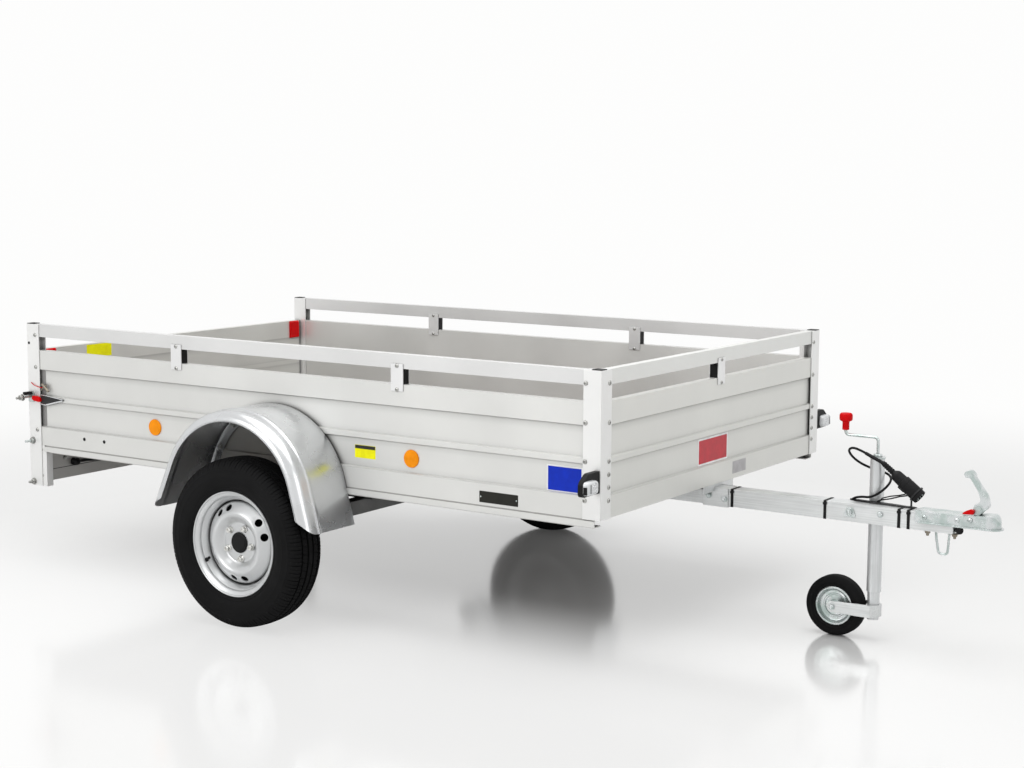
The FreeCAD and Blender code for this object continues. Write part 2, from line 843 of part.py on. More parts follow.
def tyre_profile():
    half = s.tyre_wid / 2
    bead = s.rim_r - 16
    seat = s.rim_wid / 2
    lower = [
        (bead, -seat + 10),
        (s.rim_r + s.fit_gap, -seat + s.sheet_thick + 1),
        (s.rim_r + 7, -seat - 1, 90),
        (s.rim_r + 46, -half),
        (s.rim_r + 52, -half, 60),
        (s.tyre_r - 20, -half + 7, 26),
        (s.tyre_r - 4, -half + 22),
        (s.tyre_r, -18),
    ]
    upper = [
        (s.tyre_r, 18),
        (s.tyre_r - 4, half - 22, 26),
        (s.tyre_r - 20, half - 7, 60),
        (s.rim_r + 52, half),
        (s.rim_r + 46, half, 90),
        (s.rim_r + 7, seat + 1),
        (s.rim_r + s.fit_gap, seat - s.sheet_thick - 1),
        (bead, seat - 10),
    ]
    return lower + upper


def rim_profile(side):
    """Drop-centre rim: rolled flanges, bead seats with a safety hump, and the well."""
    edge = s.rim_wid / 2
    t = s.sheet_thick
    seat = s.rim_r - 16 - s.fit_gap
    well = s.rim_r - 32
    outside = [
        (s.rim_r, -edge),
        (s.rim_r, -edge + t),
        (seat, -edge + t + 6),
        (seat, -edge + 26),
        (well, -14),
        (well, 24),
        (seat - 5, edge - 24),
        (seat, edge - 21),
        (seat, edge - t - 6),
        (s.rim_r, edge - t),
        (s.rim_r, edge),
    ]
    inside = [
        (s.rim_r - 4, edge),
        (seat - t, edge - 6),
        (seat - t, edge - 21 + t),
        (seat - 5 - t, edge - 24 + t),
        (well - t, 24 + t),
        (well - t, -14 - t),
        (seat - t, -edge + 26 - t),
        (seat - t, -edge + 6),
        (s.rim_r - 4, -edge),
    ]
    return outward(outside + inside, side)


def disc_profile(side):
    t = s.disc_thick
    top = s.bulge_out
    flat = s.disc_off
    r = s.bulge_r
    well = s.rim_r - 32 - s.sheet_thick + 1
    disc = [
        (s.hub_bore, flat - t),
        (70, flat - t),
        (82, flat + 4),
        (r - 10, top - 7),
        (r + 2, top - t),
        (r + 10, top - 10),
        (well - 4, 12),
        (well, 4),
        (well, 20),
        (well - 1, 22),
        (r + 12, top - 4),
        (r + 4, top, 14),
        (r - 6, top - 2),
        (80, flat + 8),
        (68, flat),
        (s.hub_bore, flat),
    ]
    return outward(disc, side)


def hub_profile(side):
    """Hub with its flange against the back of the disc."""
    face = s.disc_off - s.disc_thick
    inner = s.beam_end + s.arm_wid + 2 - s.wheel_mid
    bore = s.spindle_r + s.pin_gap
    hub = [
        (bore, inner),
        (s.hub_r, inner),
        (s.hub_r, face - 12),
        (68, face - 12),
        (68, face),
        (bore, face),
    ]
    return outward(hub, side)


def make_mudguards():
    """Guard over each tyre: an arch with straight flared ends, a rolled outer shoulder with a bead,
    rounded lower corners, and an inner flange on the wall."""
    for hand, side in (("right", -1), ("left", 1)):
        name = "guard_" + hand
        section = outward(guard_section(), side)
        pieces = [guard_arch(name, section)]
        trims = []
        for end, turn, low in (
            (1, s.guard_front_turn, s.guard_low_front),
            (-1, s.guard_rear_turn, s.guard_low_rear),
        ):
            tag = "%s_%d" % (name, end > 0)
            pieces.append(guard_skirt(tag, section, end, turn))
            trims.append(guard_trim(tag, end, low))
            trims.append(guard_corner(tag, side, end, low))
        node("mudguard_" + hand, cut("mudguard_" + hand, fuse(name + "_whole", pieces), trims))


def lean(thing, degrees):
    """Turn a piece about its own Y axis; a positive angle lowers its front."""
    thing.Placement = FreeCAD.Placement(FreeCAD.Vector(), FreeCAD.Rotation(FreeCAD.Vector(0, 1, 0), degrees))


def guard_arch(name, section):
    body = doc.addObject("PartDesign::Body", name)
    sketch = new_sketch(body, "XY_Plane", name + "_profile")
    add_loop(sketch, section)
    turn = body.newObject("PartDesign::Revolution", name + "_turn")
    turn.Profile = sketch
    turn.ReferenceAxis = (sketch, ["V_Axis"])
    bind(turn, "Angle", s.guard_front_turn + s.guard_rear_turn)
    turn.Reversed = True
    lean(body, s.guard_front_turn.value - 90)
    place(body, box_x(s.guard_x), 0, s.guard_z)
    return body


def guard_skirt(tag, section, end, turn):
    """Straight end of the guard, running on from the arch along its tangent."""
    outline = []
    for point in section:
        flipped = (end * Size.of(point[0]), point[1])
        outline.append(flipped + (end * Size.of(point[2]),) if len(point) == 3 else flipped)
    skirt = prism(tag + "_skirt", "XY_Plane", outline, s.guard_r, (0, 0, 0))
    skirt.Tip.Reversed = True
    lean(skirt, end * (turn.value - 90))
    place(skirt, box_x(s.guard_x), 0, s.guard_z)
    return skirt


def guard_trim(tag, end, low):
    """What cuts the guard's end off level."""
    reach = 2 * s.guard_r
    wide = s.guard_out + s.guard_lip + 20
    x = s.guard_x if end > 0 else s.guard_x - reach
    return block(tag + "_trim", reach, 2 * wide, reach, box_x(x), -wide, low - reach)


def guard_section():
    """Section of the guard as (distance from the arch's axis, distance from the trailer's middle)."""
    t = s.guard_thick
    seat = s.skin + s.fit_gap
    r = s.guard_r
    edge_y = s.guard_out + s.guard_lip
    edge_r = r - s.guard_roll
    return [
        (r, seat),
        (r, s.guard_out - 30),
        (r + 3, s.guard_out - 26),
        (r + 3, s.guard_out - 18),
        (r, s.guard_out - 14),
        (r, s.guard_out - 4, s.guard_lip + 12),
        (edge_r, edge_y),
        (edge_r - t, edge_y - 1),
        (edge_r + 1, edge_y - t - 1, -s.guard_lip - 6),
        (r - t, s.guard_out - 6),
        (r - t, seat + t),
        (r - 34, seat + t),
        (r - 34, seat),
    ]


def guard_corner(tag, side, end, low):
    """What rounds off the guard's lower outer corner."""
    r = s.guard_corner
    edge = s.guard_out + s.guard_lip
    outline = [
        (edge - r, low - 6),
        (edge + 6, low - 6),
        (edge + 6, low + r),
        (edge, low + r, -r),
        (edge - r, low),
    ]
    reach = 2 * s.guard_r
    x = s.guard_x if end > 0 else s.guard_x - reach
    return prism(tag + "_corner", "YZ_Plane", outward_across(outline, side), reach, (box_x(x), 0, 0))


def make_drawbar():
    half = s.bar_side / 2
    t = s.bar_wall
    outline = [(-half, s.drawbar_low), (half, s.drawbar_low), (half, s.bar_top), (-half, s.bar_top)]
    low = s.drawbar_low + t
    high = s.bar_top - t
    bore = [(-half + t, low), (half - t, low), (half - t, high), (-half + t, high)]
    tube = prism("drawbar_tube", "YZ_Plane", outline, s.bar_end - s.bar_rear, (box_x(s.bar_rear), 0, 0), holes=[bore])
    node("drawbar", tube)
    make_bracket(half)


def make_bracket(half):
    """Saddle round the drawbar under the front wall, with a plate under the floor and a front flange."""
    wide = s.bracket_wid / 2
    seat = s.bar_top + s.fit_gap
    t = s.bracket_thick
    front = s.skin_front
    top = s.wall_low - s.fit_gap
    plate = block("bracket_plate", s.bracket_deep, 2 * wide, t, box_x(front - s.bracket_deep), -wide, seat)
    inner = half + s.fit_gap
    outer = inner + t
    low = s.drawbar_low - s.fit_gap
    flange = prism("bracket_flange", "YZ_Plane", [
        (-wide, top - 24),
        (-outer, top - 24),
        (-outer, seat),
        (outer, seat),
        (outer, top - 24),
        (wide, top - 24),
        (wide, top),
        (-wide, top),
    ], t, (box_x(front - t), 0, 0))
    saddle = prism("bracket_saddle", "YZ_Plane", [
        (-outer, seat + 1),
        (-outer, low - t),
        (outer, low - t),
        (outer, seat + 1),
        (inner, seat + 1),
        (inner, low),
        (-inner, low),
        (-inner, seat + 1),
    ], s.saddle_len, (box_x(s.saddle_rear), 0, 0))
    node("drawbar_bracket", fuse("drawbar_bracket", [plate, flange, saddle]))


def make_coupling():
    """Pressed ball coupling over the drawbar's end, with a flared lower edge, and its lever."""
    half = s.bar_side / 2 + s.fit_gap + s.head_thick
    rear = s.head_rear
    ball = s.ball_x
    top = s.bar_top + s.fit_gap + s.head_thick
    low = s.head_low
    neck = s.ball_r + s.head_thick + 2
    side_view = [
        (rear, low),
        (s.nose - 1, low),
        (s.nose, low + 6, 30),
        (ball + 32, top - 8, 26),
        (ball + 6, top + 6),
        (ball - 20, top + 4),
        (ball - 60, top),
        (rear, top),
    ]
    body = prism("head_side", "XZ_Plane", side_view, 2 * half, (box_x(0), -half, 0))
    plan = [
        (rear, -half),
        (ball - 76, -half),
        (ball - 40, -neck),
        (ball + 8, -neck, neck + 2),
        (s.nose, 0, neck + 2),
        (ball + 8, neck),
        (ball - 40, neck),
        (ball - 76, half),
        (rear, half),
    ]
    shadow = prism("head_plan", "XY_Plane", plan, 90, (box_x(0), 0, low - 10))
    blank = common("head_blank", [body, shadow])
    lip = prism("head_lip", "XY_Plane", lip_plan(half, neck), 4, (box_x(0), 0, low))
    formed = fuse("head_formed", [blank, lip])
    inner = s.bar_side / 2 + s.fit_gap
    tunnel_end = s.bar_end + s.fit_gap
    tunnel = block("head_tunnel", tunnel_end - rear + 1, 2 * inner, s.bar_side, box_x(rear - 1), -inner,
                   s.bar_top + s.fit_gap - s.bar_side)
    core = s.head_thick
    pocket = block("head_pocket", ball - 24 - tunnel_end - 12, 2 * (neck - core), top - core - low,
                   box_x(tunnel_end + 12), -(neck - core), low - 1)
    throat = rod("head_throat", s.ball_r, 40, "z", box_x(ball), 0, s.ball_z - 40)
    cup = doc.addObject("Part::Sphere", "head_cup")
    bind(cup, "Radius", s.ball_r)
    place(cup, box_x(ball), 0, s.ball_z)
    node("coupling_head", cut("coupling_head_cut", formed, [tunnel, pocket, throat, cup]))
    make_lever(ball, top)


def lip_plan(half, neck):
    """Plan of the flare round the coupling's lower edge."""
    out = 5
    ball = s.ball_x
    return [
        (s.head_rear + 10, -half - out),
        (ball - 76, -half - out),
        (ball - 40, -neck - out),
        (ball + 10, -neck - out, neck + out + 2),
        (s.nose + s.lip_out, 0, neck + out + 2),
        (ball + 10, neck + out),
        (ball - 40, neck + out),
        (ball - 76, half + out),
        (s.head_rear + 10, half + out),
    ]


def make_lever(ball, top):
    """The lever is a channel, open towards the trailer, with a knuckle at its pivot and a hook for the hand."""
    foot = top + 6 + s.fit_gap
    seat = top + s.fit_gap
    outline = [
        (ball - 46, seat + 1.4),
        (ball - 30, seat + 3),
        (ball - 15, foot + 12, 20),
        (ball - 4, foot + 38),
        (ball - 10, foot + 60),
        (ball - 30, foot + 86),
        (ball - 50, foot + 114, 22),
        (ball - 65, foot + 135, 16),
        (ball - 84, foot + 123),
        (ball - 79, foot + 114),
        (ball - 62, foot + 112),
        (ball - 36, foot + 74),
        (ball - 27, foot + 47, -24),
        (ball - 46, foot + 29),
        (ball - 51, foot + 13),
    ]
    solid = prism("lever_solid", "XZ_Plane", outline, s.lever_wid, (box_x(0), -s.lever_wid / 2, 0))
    hollow = [
        (ball - 60, foot + 32),
        (ball - 34, foot + 28),
        (ball - 13, foot + 34),
        (ball - 15, foot + 55),
        (ball - 34, foot + 82),
        (ball - 52, foot + 108),
        (ball - 66, foot + 102),
        (ball - 42, foot + 68),
    ]
    wide = s.lever_wid - 2 * s.sheet_thick
    channel_cut = prism("lever_hollow", "XZ_Plane", hollow, wide, (box_x(0), -wide / 2, 0))
    node("coupling_handle", cut("coupling_handle_cut", solid, [channel_cut]))


def make_jockey():
    x = box_x(s.jack_x)
    y = s.jack_y
    bore = s.jack_r + s.pin_gap
    ring = turned("clamp_ring", [
        (bore, s.drawbar_low + 6),
        (s.jack_r + 8, s.drawbar_low + 6),
        (s.jack_r + 8, s.bar_top - 6),
        (bore, s.bar_top - 6),
    ], (x, y, 0), axis="z")
    half = s.bar_side / 2
    base = block("clamp_base", 140, 7, 48, x - 70, half + s.fit_gap, s.drawbar_low + 6)
    neck = block("clamp_neck", 44, y - half - s.jack_r - 4, 48, x - 22, half + s.fit_gap, s.drawbar_low + 6)
    hole = rod("clamp_hole", bore, 80, "z", x, y, s.drawbar_low - 10)
    solid = fuse("clamp_solid", [ring, base, neck])
    node("jockey_clamp", cut("jockey_clamp_cut", solid, [hole]))
    inner_bore = s.jack_in_r + s.pin_gap
    tube = turned("jack_tube", [
        (inner_bore, s.jack_low),
        (s.jack_r, s.jack_low),
        (s.jack_r, s.jack_top),
        (s.crank_r + s.pin_gap, s.jack_top),
        (s.crank_r + s.pin_gap, s.jack_top - 8),
        (inner_bore, s.jack_top - 8),
    ], (x, y, 0), axis="z")
    node("jockey_tube", tube)
    make_jockey_leg(x, y)
    make_crank(x, y)


def make_jockey_leg(x, y):
    """Inner tube, and the fork that swivels on the pin at its foot."""
    seat = s.leg_foot + s.fork_high
    pin_r = s.swivel_r
    stem = turned("leg_stem", [
        (0, s.leg_foot - 10),
        (s.jack_in_r - 1, s.leg_foot - 10),
        (s.jack_in_r - 1, s.leg_foot - s.fit_gap),
        (pin_r, s.leg_foot - s.fit_gap),
        (pin_r, seat + s.fit_gap),
        (s.jack_in_r, seat + s.fit_gap),
        (s.jack_in_r, s.jack_top - 60),
        (12, s.jack_top - 60),
        (12, seat + 50),
        (0, seat + 50),
    ], (x, y, 0), axis="z")
    node("jockey_leg", stem)
    wide = s.jack_wheel_wid / 2 + 3 + s.fork_thick
    t = s.fork_thick
    trail = s.jack_trail
    plan = [
        (-trail - 21, -wide),
        (2, -wide),
        (24, -14),
        (24, 14),
        (2, wide),
        (-trail - 21, wide),
        (-trail - 21, wide - t),
        (-14, wide - t),
        (-22, 0),
        (-14, -wide + t),
        (-trail - 21, -wide + t),
    ]
    shell = prism("fork_plan", "XY_Plane", plan, s.fork_high + 10, (x, y, s.leg_foot - 5))
    axle_z = s.jack_wheel_r - s.leg_foot
    outline = [
        (s.jack_in_r + 6, 0),
        (s.jack_in_r + 6, s.fork_high),
        (-40, s.fork_high),
        (-trail, axle_z + 19, 19),
        (-trail - 19, axle_z, 19),
        (-trail, axle_z - 19),
        (-40, 0),
    ]
    shadow = prism("fork_side", "XZ_Plane", outline, 2 * wide + 2, (x, y - wide - 1, s.leg_foot))
    form = common("fork_form", [shell, shadow])
    bore = rod("fork_bore", pin_r + s.pin_gap, s.fork_high + 20, "z", x, y, s.leg_foot - 10)
    bored = cut("fork_bored", form, [bore])
    pin = rod("fork_pin", s.jack_pin_r, 2 * wide, "y", x - trail, y - wide, s.jack_wheel_r)
    node("jockey_fork", fuse("jockey_fork", [bored, pin]))
    centre = (x - trail, y, s.jack_wheel_r)
    half = s.jack_wheel_wid / 2
    rim = s.jack_rim_r
    outer = s.jack_wheel_r
    tyre = [
        (rim, -half + 8),
        (outer - 14, -half, 16),
        (outer, -half + 15),
        (outer, half - 15, 16),
        (outer - 14, half),
        (rim, half - 8),
    ]
    node("jockey_tyre", turned("jockey_tyre_body", tyre, centre))
    gap = s.fit_gap
    bore = s.jack_pin_r + s.pin_gap
    disc = [
        (bore, -half),
        (16, -half),
        (18, -8),
        (rim - 18, -8),
        (rim - 10, -half + 4),
        (rim - gap, -half + 8),
        (rim - gap, half - 8),
        (rim - 10, half - 4),
        (rim - 18, 8),
        (18, 8),
        (16, half),
        (bore, half),
    ]
    node("jockey_rim", turned("jockey_rim_body", disc, centre))


def make_crank(x, y):
    top = s.crank_z
    far = x - s.crank_reach
    line = [(x, y, s.jack_top - 40), (x, y, top), (far, y, top), (far, y, s.knob_low + 30)]
    rod_shape = route_solid("crank_rod", line, 2 * s.crank_r, reach=s.crank_bend)[0]
    collar = rod("crank_collar", 14, 10, "z", x, y, s.jack_top + s.fit_gap)
    node("jockey_crank", fuse("jockey_crank", [rod_shape, collar]))
    low = s.knob_low
    high = low + s.knob_high
    bore = s.crank_r + s.pin_gap
    knob = [
        (bore, low),
        (13, low),
        (13, low + 26),
        (22, low + 32),
        (22, high - 4),
        (18, high),
        (0, high),
        (0, low + 34),
        (bore, low + 34),
    ]
    node("jockey_knob", turned("jockey_knob_body", knob, (far, y, 0), axis="z"))


def bend(before, corner, after, reach):
    """Ends and middle of the arc that rounds a corner of a route, reach away from it on both sides."""
    back = (before - corner).normalize()
    ahead = (after - corner).normalize()
    start = corner + back * reach
    end = corner + ahead * reach
    half = back.getAngle(ahead) / 2
    depth = reach / math.cos(half) - reach * math.tan(half)
    middle = corner + (back + ahead).normalize() * depth
    return start, middle, end


def route_solid(name, spots, diameter, share=0.45, reach=None):
    """A round section carried along straight runs with an arc at each corner. The arc takes a share of
    its shorter run, or starts a given reach from the corner."""
    points = [FreeCAD.Vector(*[number(c) for c in spot]) for spot in spots]
    edges = []
    last = points[0]
    for i in range(1, len(points) - 1):
        shorter = min((points[i] - points[i - 1]).Length, (points[i + 1] - points[i]).Length)
        back = share * shorter if reach is None else number(reach)
        start, middle, end = bend(points[i - 1], points[i], points[i + 1], back)
        edges.append(Part.makeLine(last, start))
        edges.append(Part.Arc(start, middle, end).toShape())
        last = end
    edges.append(Part.makeLine(last, points[-1]))
    path = Part.Wire(edges)
    ring = Part.Wire([Part.makeCircle(number(diameter) / 2, points[0], points[1] - points[0])])
    solid = path.makePipeShell([ring], True, False)
    thing = doc.addObject("Part::Feature", name)
    thing.Shape = solid
    return thing, path.Length


def aimed(thing, start, direction):
    """Lay a piece that was made along Z so that it starts at a point and runs along a direction."""
    turn = FreeCAD.Rotation(FreeCAD.Vector(0, 0, 1), FreeCAD.Vector(*direction))
    thing.Placement = FreeCAD.Placement(FreeCAD.Vector(), turn)
    place(thing, *start)
    return thing


def make_cable():
    """The lamp cable: held along the drawbar's far face, then free in one turn round the jockey tube."""
    y = s.bar_side / 2 + s.cable_d / 2 + s.fit_gap
    start = s.saddle_rear + s.saddle_len + s.fit_gap
    node("cable_run", rod("cable_run", s.cable_d / 2, s.run_end - start, "x", box_x(start), y, s.cable_z))
    plug_y = s.plug_y
    x = s.jack_x
    z = s.bar_top
    route = [
        (box_x(s.run_end), y, s.cable_z),
        (box_x(s.run_end + 30), y, s.cable_z),
        (box_x(x - 68), y, z + 7),
        (box_x(x - 35), 27, z + 16),
        (box_x(x - 2), 24, z + 17),
        (box_x(x + 30), 34, z + 37),
        (box_x(x + 50), 62, z + 65),
        (box_x(x + 38), 98, z + 81),
        (box_x(x + 4), 114, z + 91),
        (box_x(x - 34), 106, z + 99),
        (box_x(x - 66), 82, z + 117),
        (box_x(x - 86), 52, z + 144),
        (box_x(x - 86), 24, z + 170),
        (box_x(x - 59), plug_y, z + 181.2),
        (box_x(x - 22), plug_y, z + 165),
    ]
    cable, length = route_solid("cable", route, s.cable_d)
    area = math.pi * (s.cable_d.value / 2) ** 2
    print("cable length %.1f, volume ratio %.4f" % (length, cable.Shape.Volume / (area * length)))
    node("cable", cable)
    make_plug(plug_y)


def make_plug(y):
    """Plug with its sleeve and strain relief, held at the nose by a wire clip on the drawbar."""
    x = s.jack_x.value
    z = s.bar_top.value
    knee = (x + 42, z + 137)
    sleeve_from = (x - 22, z + 165)
    nose = (x + 174, z + 35)
    sleeve_run = math.hypot(knee[0] - sleeve_from[0], knee[1] - sleeve_from[1])
    plug_run = math.hypot(nose[0] - knee[0], nose[1] - knee[1])
    down = ((nose[0] - knee[0]) / plug_run, 0, (nose[1] - knee[1]) / plug_run)
    sleeve = aimed(rod("plug_sleeve", s.sleeve_d / 2, sleeve_run, "z", 0, 0, 0),
                   (box_x(sleeve_from[0]), y, sleeve_from[1]),
                   (knee[0] - sleeve_from[0], 0, knee[1] - sleeve_from[1]))
    half = s.plug_d / 2
    body = turned("plug_shell", [
        (0, 0),
        (s.relief_d / 2 - 1, 0),
        (s.relief_d / 2, 44),
        (half - 6, 56),
        (half - 4, 86),
        (half, 92),
        (half, plug_run - 4),
        (half - 3, plug_run),
        (0, plug_run),
    ], (0, 0, 0), axis="z")
    aimed(body, (box_x(knee[0]), y, knee[1]), down)
    knuckle = doc.addObject("Part::Sphere", "plug_knuckle")
    bind(knuckle, "Radius", s.relief_d / 2 - 1)
    place(knuckle, box_x(knee[0]), y, knee[1])
    node("plug", fuse("plug", [sleeve, knuckle, body]))
    inside = half + s.fit_gap
    outside = inside + 2 * s.clip_wire
    ring = turned("clip_ring", [
        (inside, -s.clip_wire),
        (outside, -s.clip_wire),
        (outside, s.clip_wire),
        (inside, s.clip_wire),
    ], (0, 0, 0), axis="z")
    at = plug_run - 20
    centre = (knee[0] + down[0] * at, knee[1] + down[2] * at)
    aimed(ring, (box_x(centre[0]), y, centre[1]), down)
    middle = inside + s.clip_wire
    low_x = centre[0] + down[2] * middle
    low_z = centre[1] - down[0] * middle
    foot = s.bar_top + s.fit_gap
    leg = block("clip_leg", 5, 5, low_z - foot - 1, box_x(low_x - 2.5), y - 2.5, foot + 1)
    pad = block("clip_foot", 150, 14, 4, box_x(low_x - 140), y - 7, foot)
    node("plug_holder", fuse("plug_holder", [ring, leg, pad]))


def make_guide_loop():
    """Wire loop under the coupling that a breakaway cable runs through."""
    top = s.drawbar_low - s.fit_gap
    low = s.drawbar_low - s.loop_drop
    neck = low + 56
    rear = s.loop_x - s.loop_wid / 2 + 2.5
    front = rear + s.loop_wid
    ends = [(rear - 11, top), (rear - 10, neck), (rear, low), (front, low), (front + 4, neck), (front + 5, top)]
    loop = route_solid("loop_wire", [(box_x(x), 0, z) for x, z in ends], s.loop_wire, 0.35)[0]
    foot = block("loop_foot", s.loop_wid + 37, 20, 3, box_x(rear - 21), -10, top - 3)
    node("guide_loop", fuse("guide_loop", [loop, foot]))


def make_latches():
    """A bolt with nut and grip on each rear post that holds the tailgate shut, and its hook on the wall."""
    pieces = []
    half = s.half_wid
    z = s.latch_z
    for hand, side in (("right", -1), ("left", 1)):
        x = box_x(-s.half_len + s.core / 2)
        start = -half - s.latch_out if side < 0 else half + s.fit_gap
        bolt = rod("latch_bolt_" + hand, 5, s.latch_out - s.fit_gap, "y", x, start, z)
        nut = rod("latch_nut_" + hand, 9, 8, "y", x, -half - 60 if side < 0 else half + 52, z)
        grip = block("latch_grip_" + hand, 26, 34, 14, x - 13, -half - 48 if side < 0 else half + 14, z - 7)
        plate = block("latch_plate_" + hand, 30, 4, 40, x - 15, -half - 4.3 if side < 0 else half + 0.3, z - 20)
        pieces.append(fuse("latch_" + hand, [bolt, nut, grip, plate]))
        pieces.append(make_hook("latch_hook_" + hand, side))
    node("tailgate_latches", group("tailgate_latches_set", pieces))


def make_hook(name, side):
    """Flat hook that lies on the wall beside the post."""
    rear = -s.half_len + s.flange_reach + 31
    z = s.latch_z
    outline = [
        (rear, z - 33),
        (rear + 8, z - 33),
        (rear + s.hook_len, z - 2),
        (rear + 8, z + 6),
        (rear, z + 6),
    ]
    face = s.skin + s.fit_gap
    y = face if side > 0 else -face - s.sheet_thick
    return prism(name, "XZ_Plane", outline, s.sheet_thick, (box_x(0), y, 0))


def make_front_lamp(tag, side):
    """Marker lamp that stands out from a front post: a black holder with a domed clear lens facing forward."""
    front = s.half_len - s.marker_in
    face = s.half_wid + s.fit_gap
    rim = face + s.marker_out
    low = s.marker_low
    top = low + s.marker_high
    holder = [
        (face, low),
        (rim - 18, low + 2, 22),
        (rim, low + 22),
        (rim, top - 30, 20),
        (rim - 16, top - 16),
        (rim - 46, top),
        (face, top - 4),
    ]
    back = (box_x(front - s.marker_thick), 0, 0)
    base = prism("marker_holder" + tag, "YZ_Plane", outward_across(holder, side), s.marker_thick, back)
    near = face + 2
    far = rim - 4
    sill = low + 2
    crown = sill + s.marker_lens_high
    seen_ahead = [
        (near, sill),
        (far - 16, sill, 16),
        (far, sill + 16),
        (far, crown - 22, 22),
        (far - 22, crown),
        (near, crown),
    ]
    seen_above = [
        (0, near),
        (s.marker_lens_deep - 8, near, 8),
        (s.marker_lens_deep, near + 8),
        (s.marker_lens_deep, far - 20, 20),
        (s.marker_lens_deep - 20, far),
        (0, far),
    ]
    start = box_x(front + s.fit_gap)
    block_ahead = prism("marker_lens_ahead" + tag, "YZ_Plane", outward_across(seen_ahead, side),
                        s.marker_lens_deep, (start, 0, 0))
    block_above = prism("marker_lens_above" + tag, "XY_Plane", outward(seen_above, side),
                        s.marker_lens_high, (start, 0, sill))
    return base, common("marker_lens" + tag, [block_ahead, block_above])


def outward_across(outline, side):
    """An outline drawn across the left side, as it is on either side."""
    points = []
    for point in outline:
        flipped = (side * Size.of(point[0]), point[1])
        points.append(flipped + (side * Size.of(point[2]),) if len(point) == 3 else flipped)
    return points


def make_small_pieces():
    discs = []
    face = s.skin - s.recess
    thick = s.reflector_thick
    z = s.band_low_top + s.reflector_up
    for i, place_x in enumerate((s.reflector_rear, s.reflector_front)):
        for side in (-1, 1):
            y = side * face if side > 0 else side * (face + thick)
            discs.append(rod("reflector%d%d" % (i, side > 0), s.reflector_r, thick, "y", box_x(place_x), y, z))
    node("reflectors", group("reflectors_set", discs))
    bases = []
    lenses = []
    for side in (-1, 1):
        tag = str(int(side > 0))
        base, lens = make_front_lamp(tag, side)
        bases.append(base)
        lenses.append(lens)
    node("front_lamp_bases", group("front_lamp_bases_set", bases))
    node("front_lamp_lenses", group("front_lamp_lenses_set", lenses))


def check_and_export():
    doc.recompute()
    for thing in doc.Objects:
        if "Invalid" in thing.State or "Error" in thing.State:
            raise RuntimeError("failed: %s %s" % (thing.Name, thing.State))
    os.makedirs("parts", exist_ok=True)
    for name, thing in NODES.items():
        shape = thing.Shape
        if shape.isNull() or not shape.isValid() or not shape.Solids:
            raise RuntimeError("bad shape: " + name)
        shape.exportStep("parts/%s.step" % name)
        box = shape.optimalBoundingBox(False, False)
        print("%-20s solids %2d  x %8.1f %8.1f  y %8.1f %8.1f  z %7.1f %7.1f" % (
            name, len(shape.Solids), box.XMin, box.XMax, box.YMin, box.YMax, box.ZMin, box.ZMax))


make_walls()
make_posts()
make_caps()
make_rails()
make_rail_brackets()
make_floor()
make_sills()
make_cross_members()
make_side_members()
make_lamp_bar()
make_tailgate()
make_axle()
make_mudguards()
make_drawbar()
make_coupling()
make_jockey()
make_cable()
make_guide_loop()
make_latches()
make_small_pieces()
check_and_export()
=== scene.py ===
"""The utility trailer's looks: camera, materials, stage, lights, detail pieces and cable."""

import math

import bmesh
import bpy
from mathutils import Matrix, Vector


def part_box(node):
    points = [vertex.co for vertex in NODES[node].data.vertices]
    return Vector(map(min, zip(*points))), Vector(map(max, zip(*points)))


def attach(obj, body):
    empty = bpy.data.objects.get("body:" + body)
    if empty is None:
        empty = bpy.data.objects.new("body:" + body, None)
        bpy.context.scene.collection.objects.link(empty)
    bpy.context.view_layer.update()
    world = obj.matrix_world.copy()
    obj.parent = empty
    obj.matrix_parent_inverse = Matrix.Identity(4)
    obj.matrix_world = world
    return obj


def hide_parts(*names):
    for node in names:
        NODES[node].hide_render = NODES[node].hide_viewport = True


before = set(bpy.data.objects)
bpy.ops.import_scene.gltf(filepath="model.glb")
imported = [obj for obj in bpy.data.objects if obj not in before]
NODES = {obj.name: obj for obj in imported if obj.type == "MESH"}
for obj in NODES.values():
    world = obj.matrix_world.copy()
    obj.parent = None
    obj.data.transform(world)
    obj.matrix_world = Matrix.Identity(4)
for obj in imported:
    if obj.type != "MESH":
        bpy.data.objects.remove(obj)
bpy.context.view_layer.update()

# Places are in millimetres from the middle of the load box; SHIFT takes them to the frame.
BOX_X = 1285
BOX_Y = 800
SKIN = 796.7
SKIN_FRONT = 1281.7
GROOVE = 7
WALL = 29.4
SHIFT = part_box("front_posts")[1].x * 1000 - BOX_X
BOTH = (-1, 1)
HANDS = ((-1, "right"), (1, "left"))
UP = (0, 0, 1)


def spot(x, y, z):
    """A place in the box's millimetres, as a vector in the frame's metres."""
    return Vector(((x + SHIFT) / 1000, y / 1000, z / 1000))


def put(name, data):
    """A new object of the scene, made of this data."""
    thing = bpy.data.objects.new(name, data)
    bpy.context.scene.collection.objects.link(thing)
    return thing


# Camera

CAMERA_PLACE = (4073.87, -5459.6, 1607.33)
CAMERA_TURN = 33.78
CAMERA_DIP = 7.31
CAMERA_ROLL = 0.29
CAMERA_LENS = 63.04


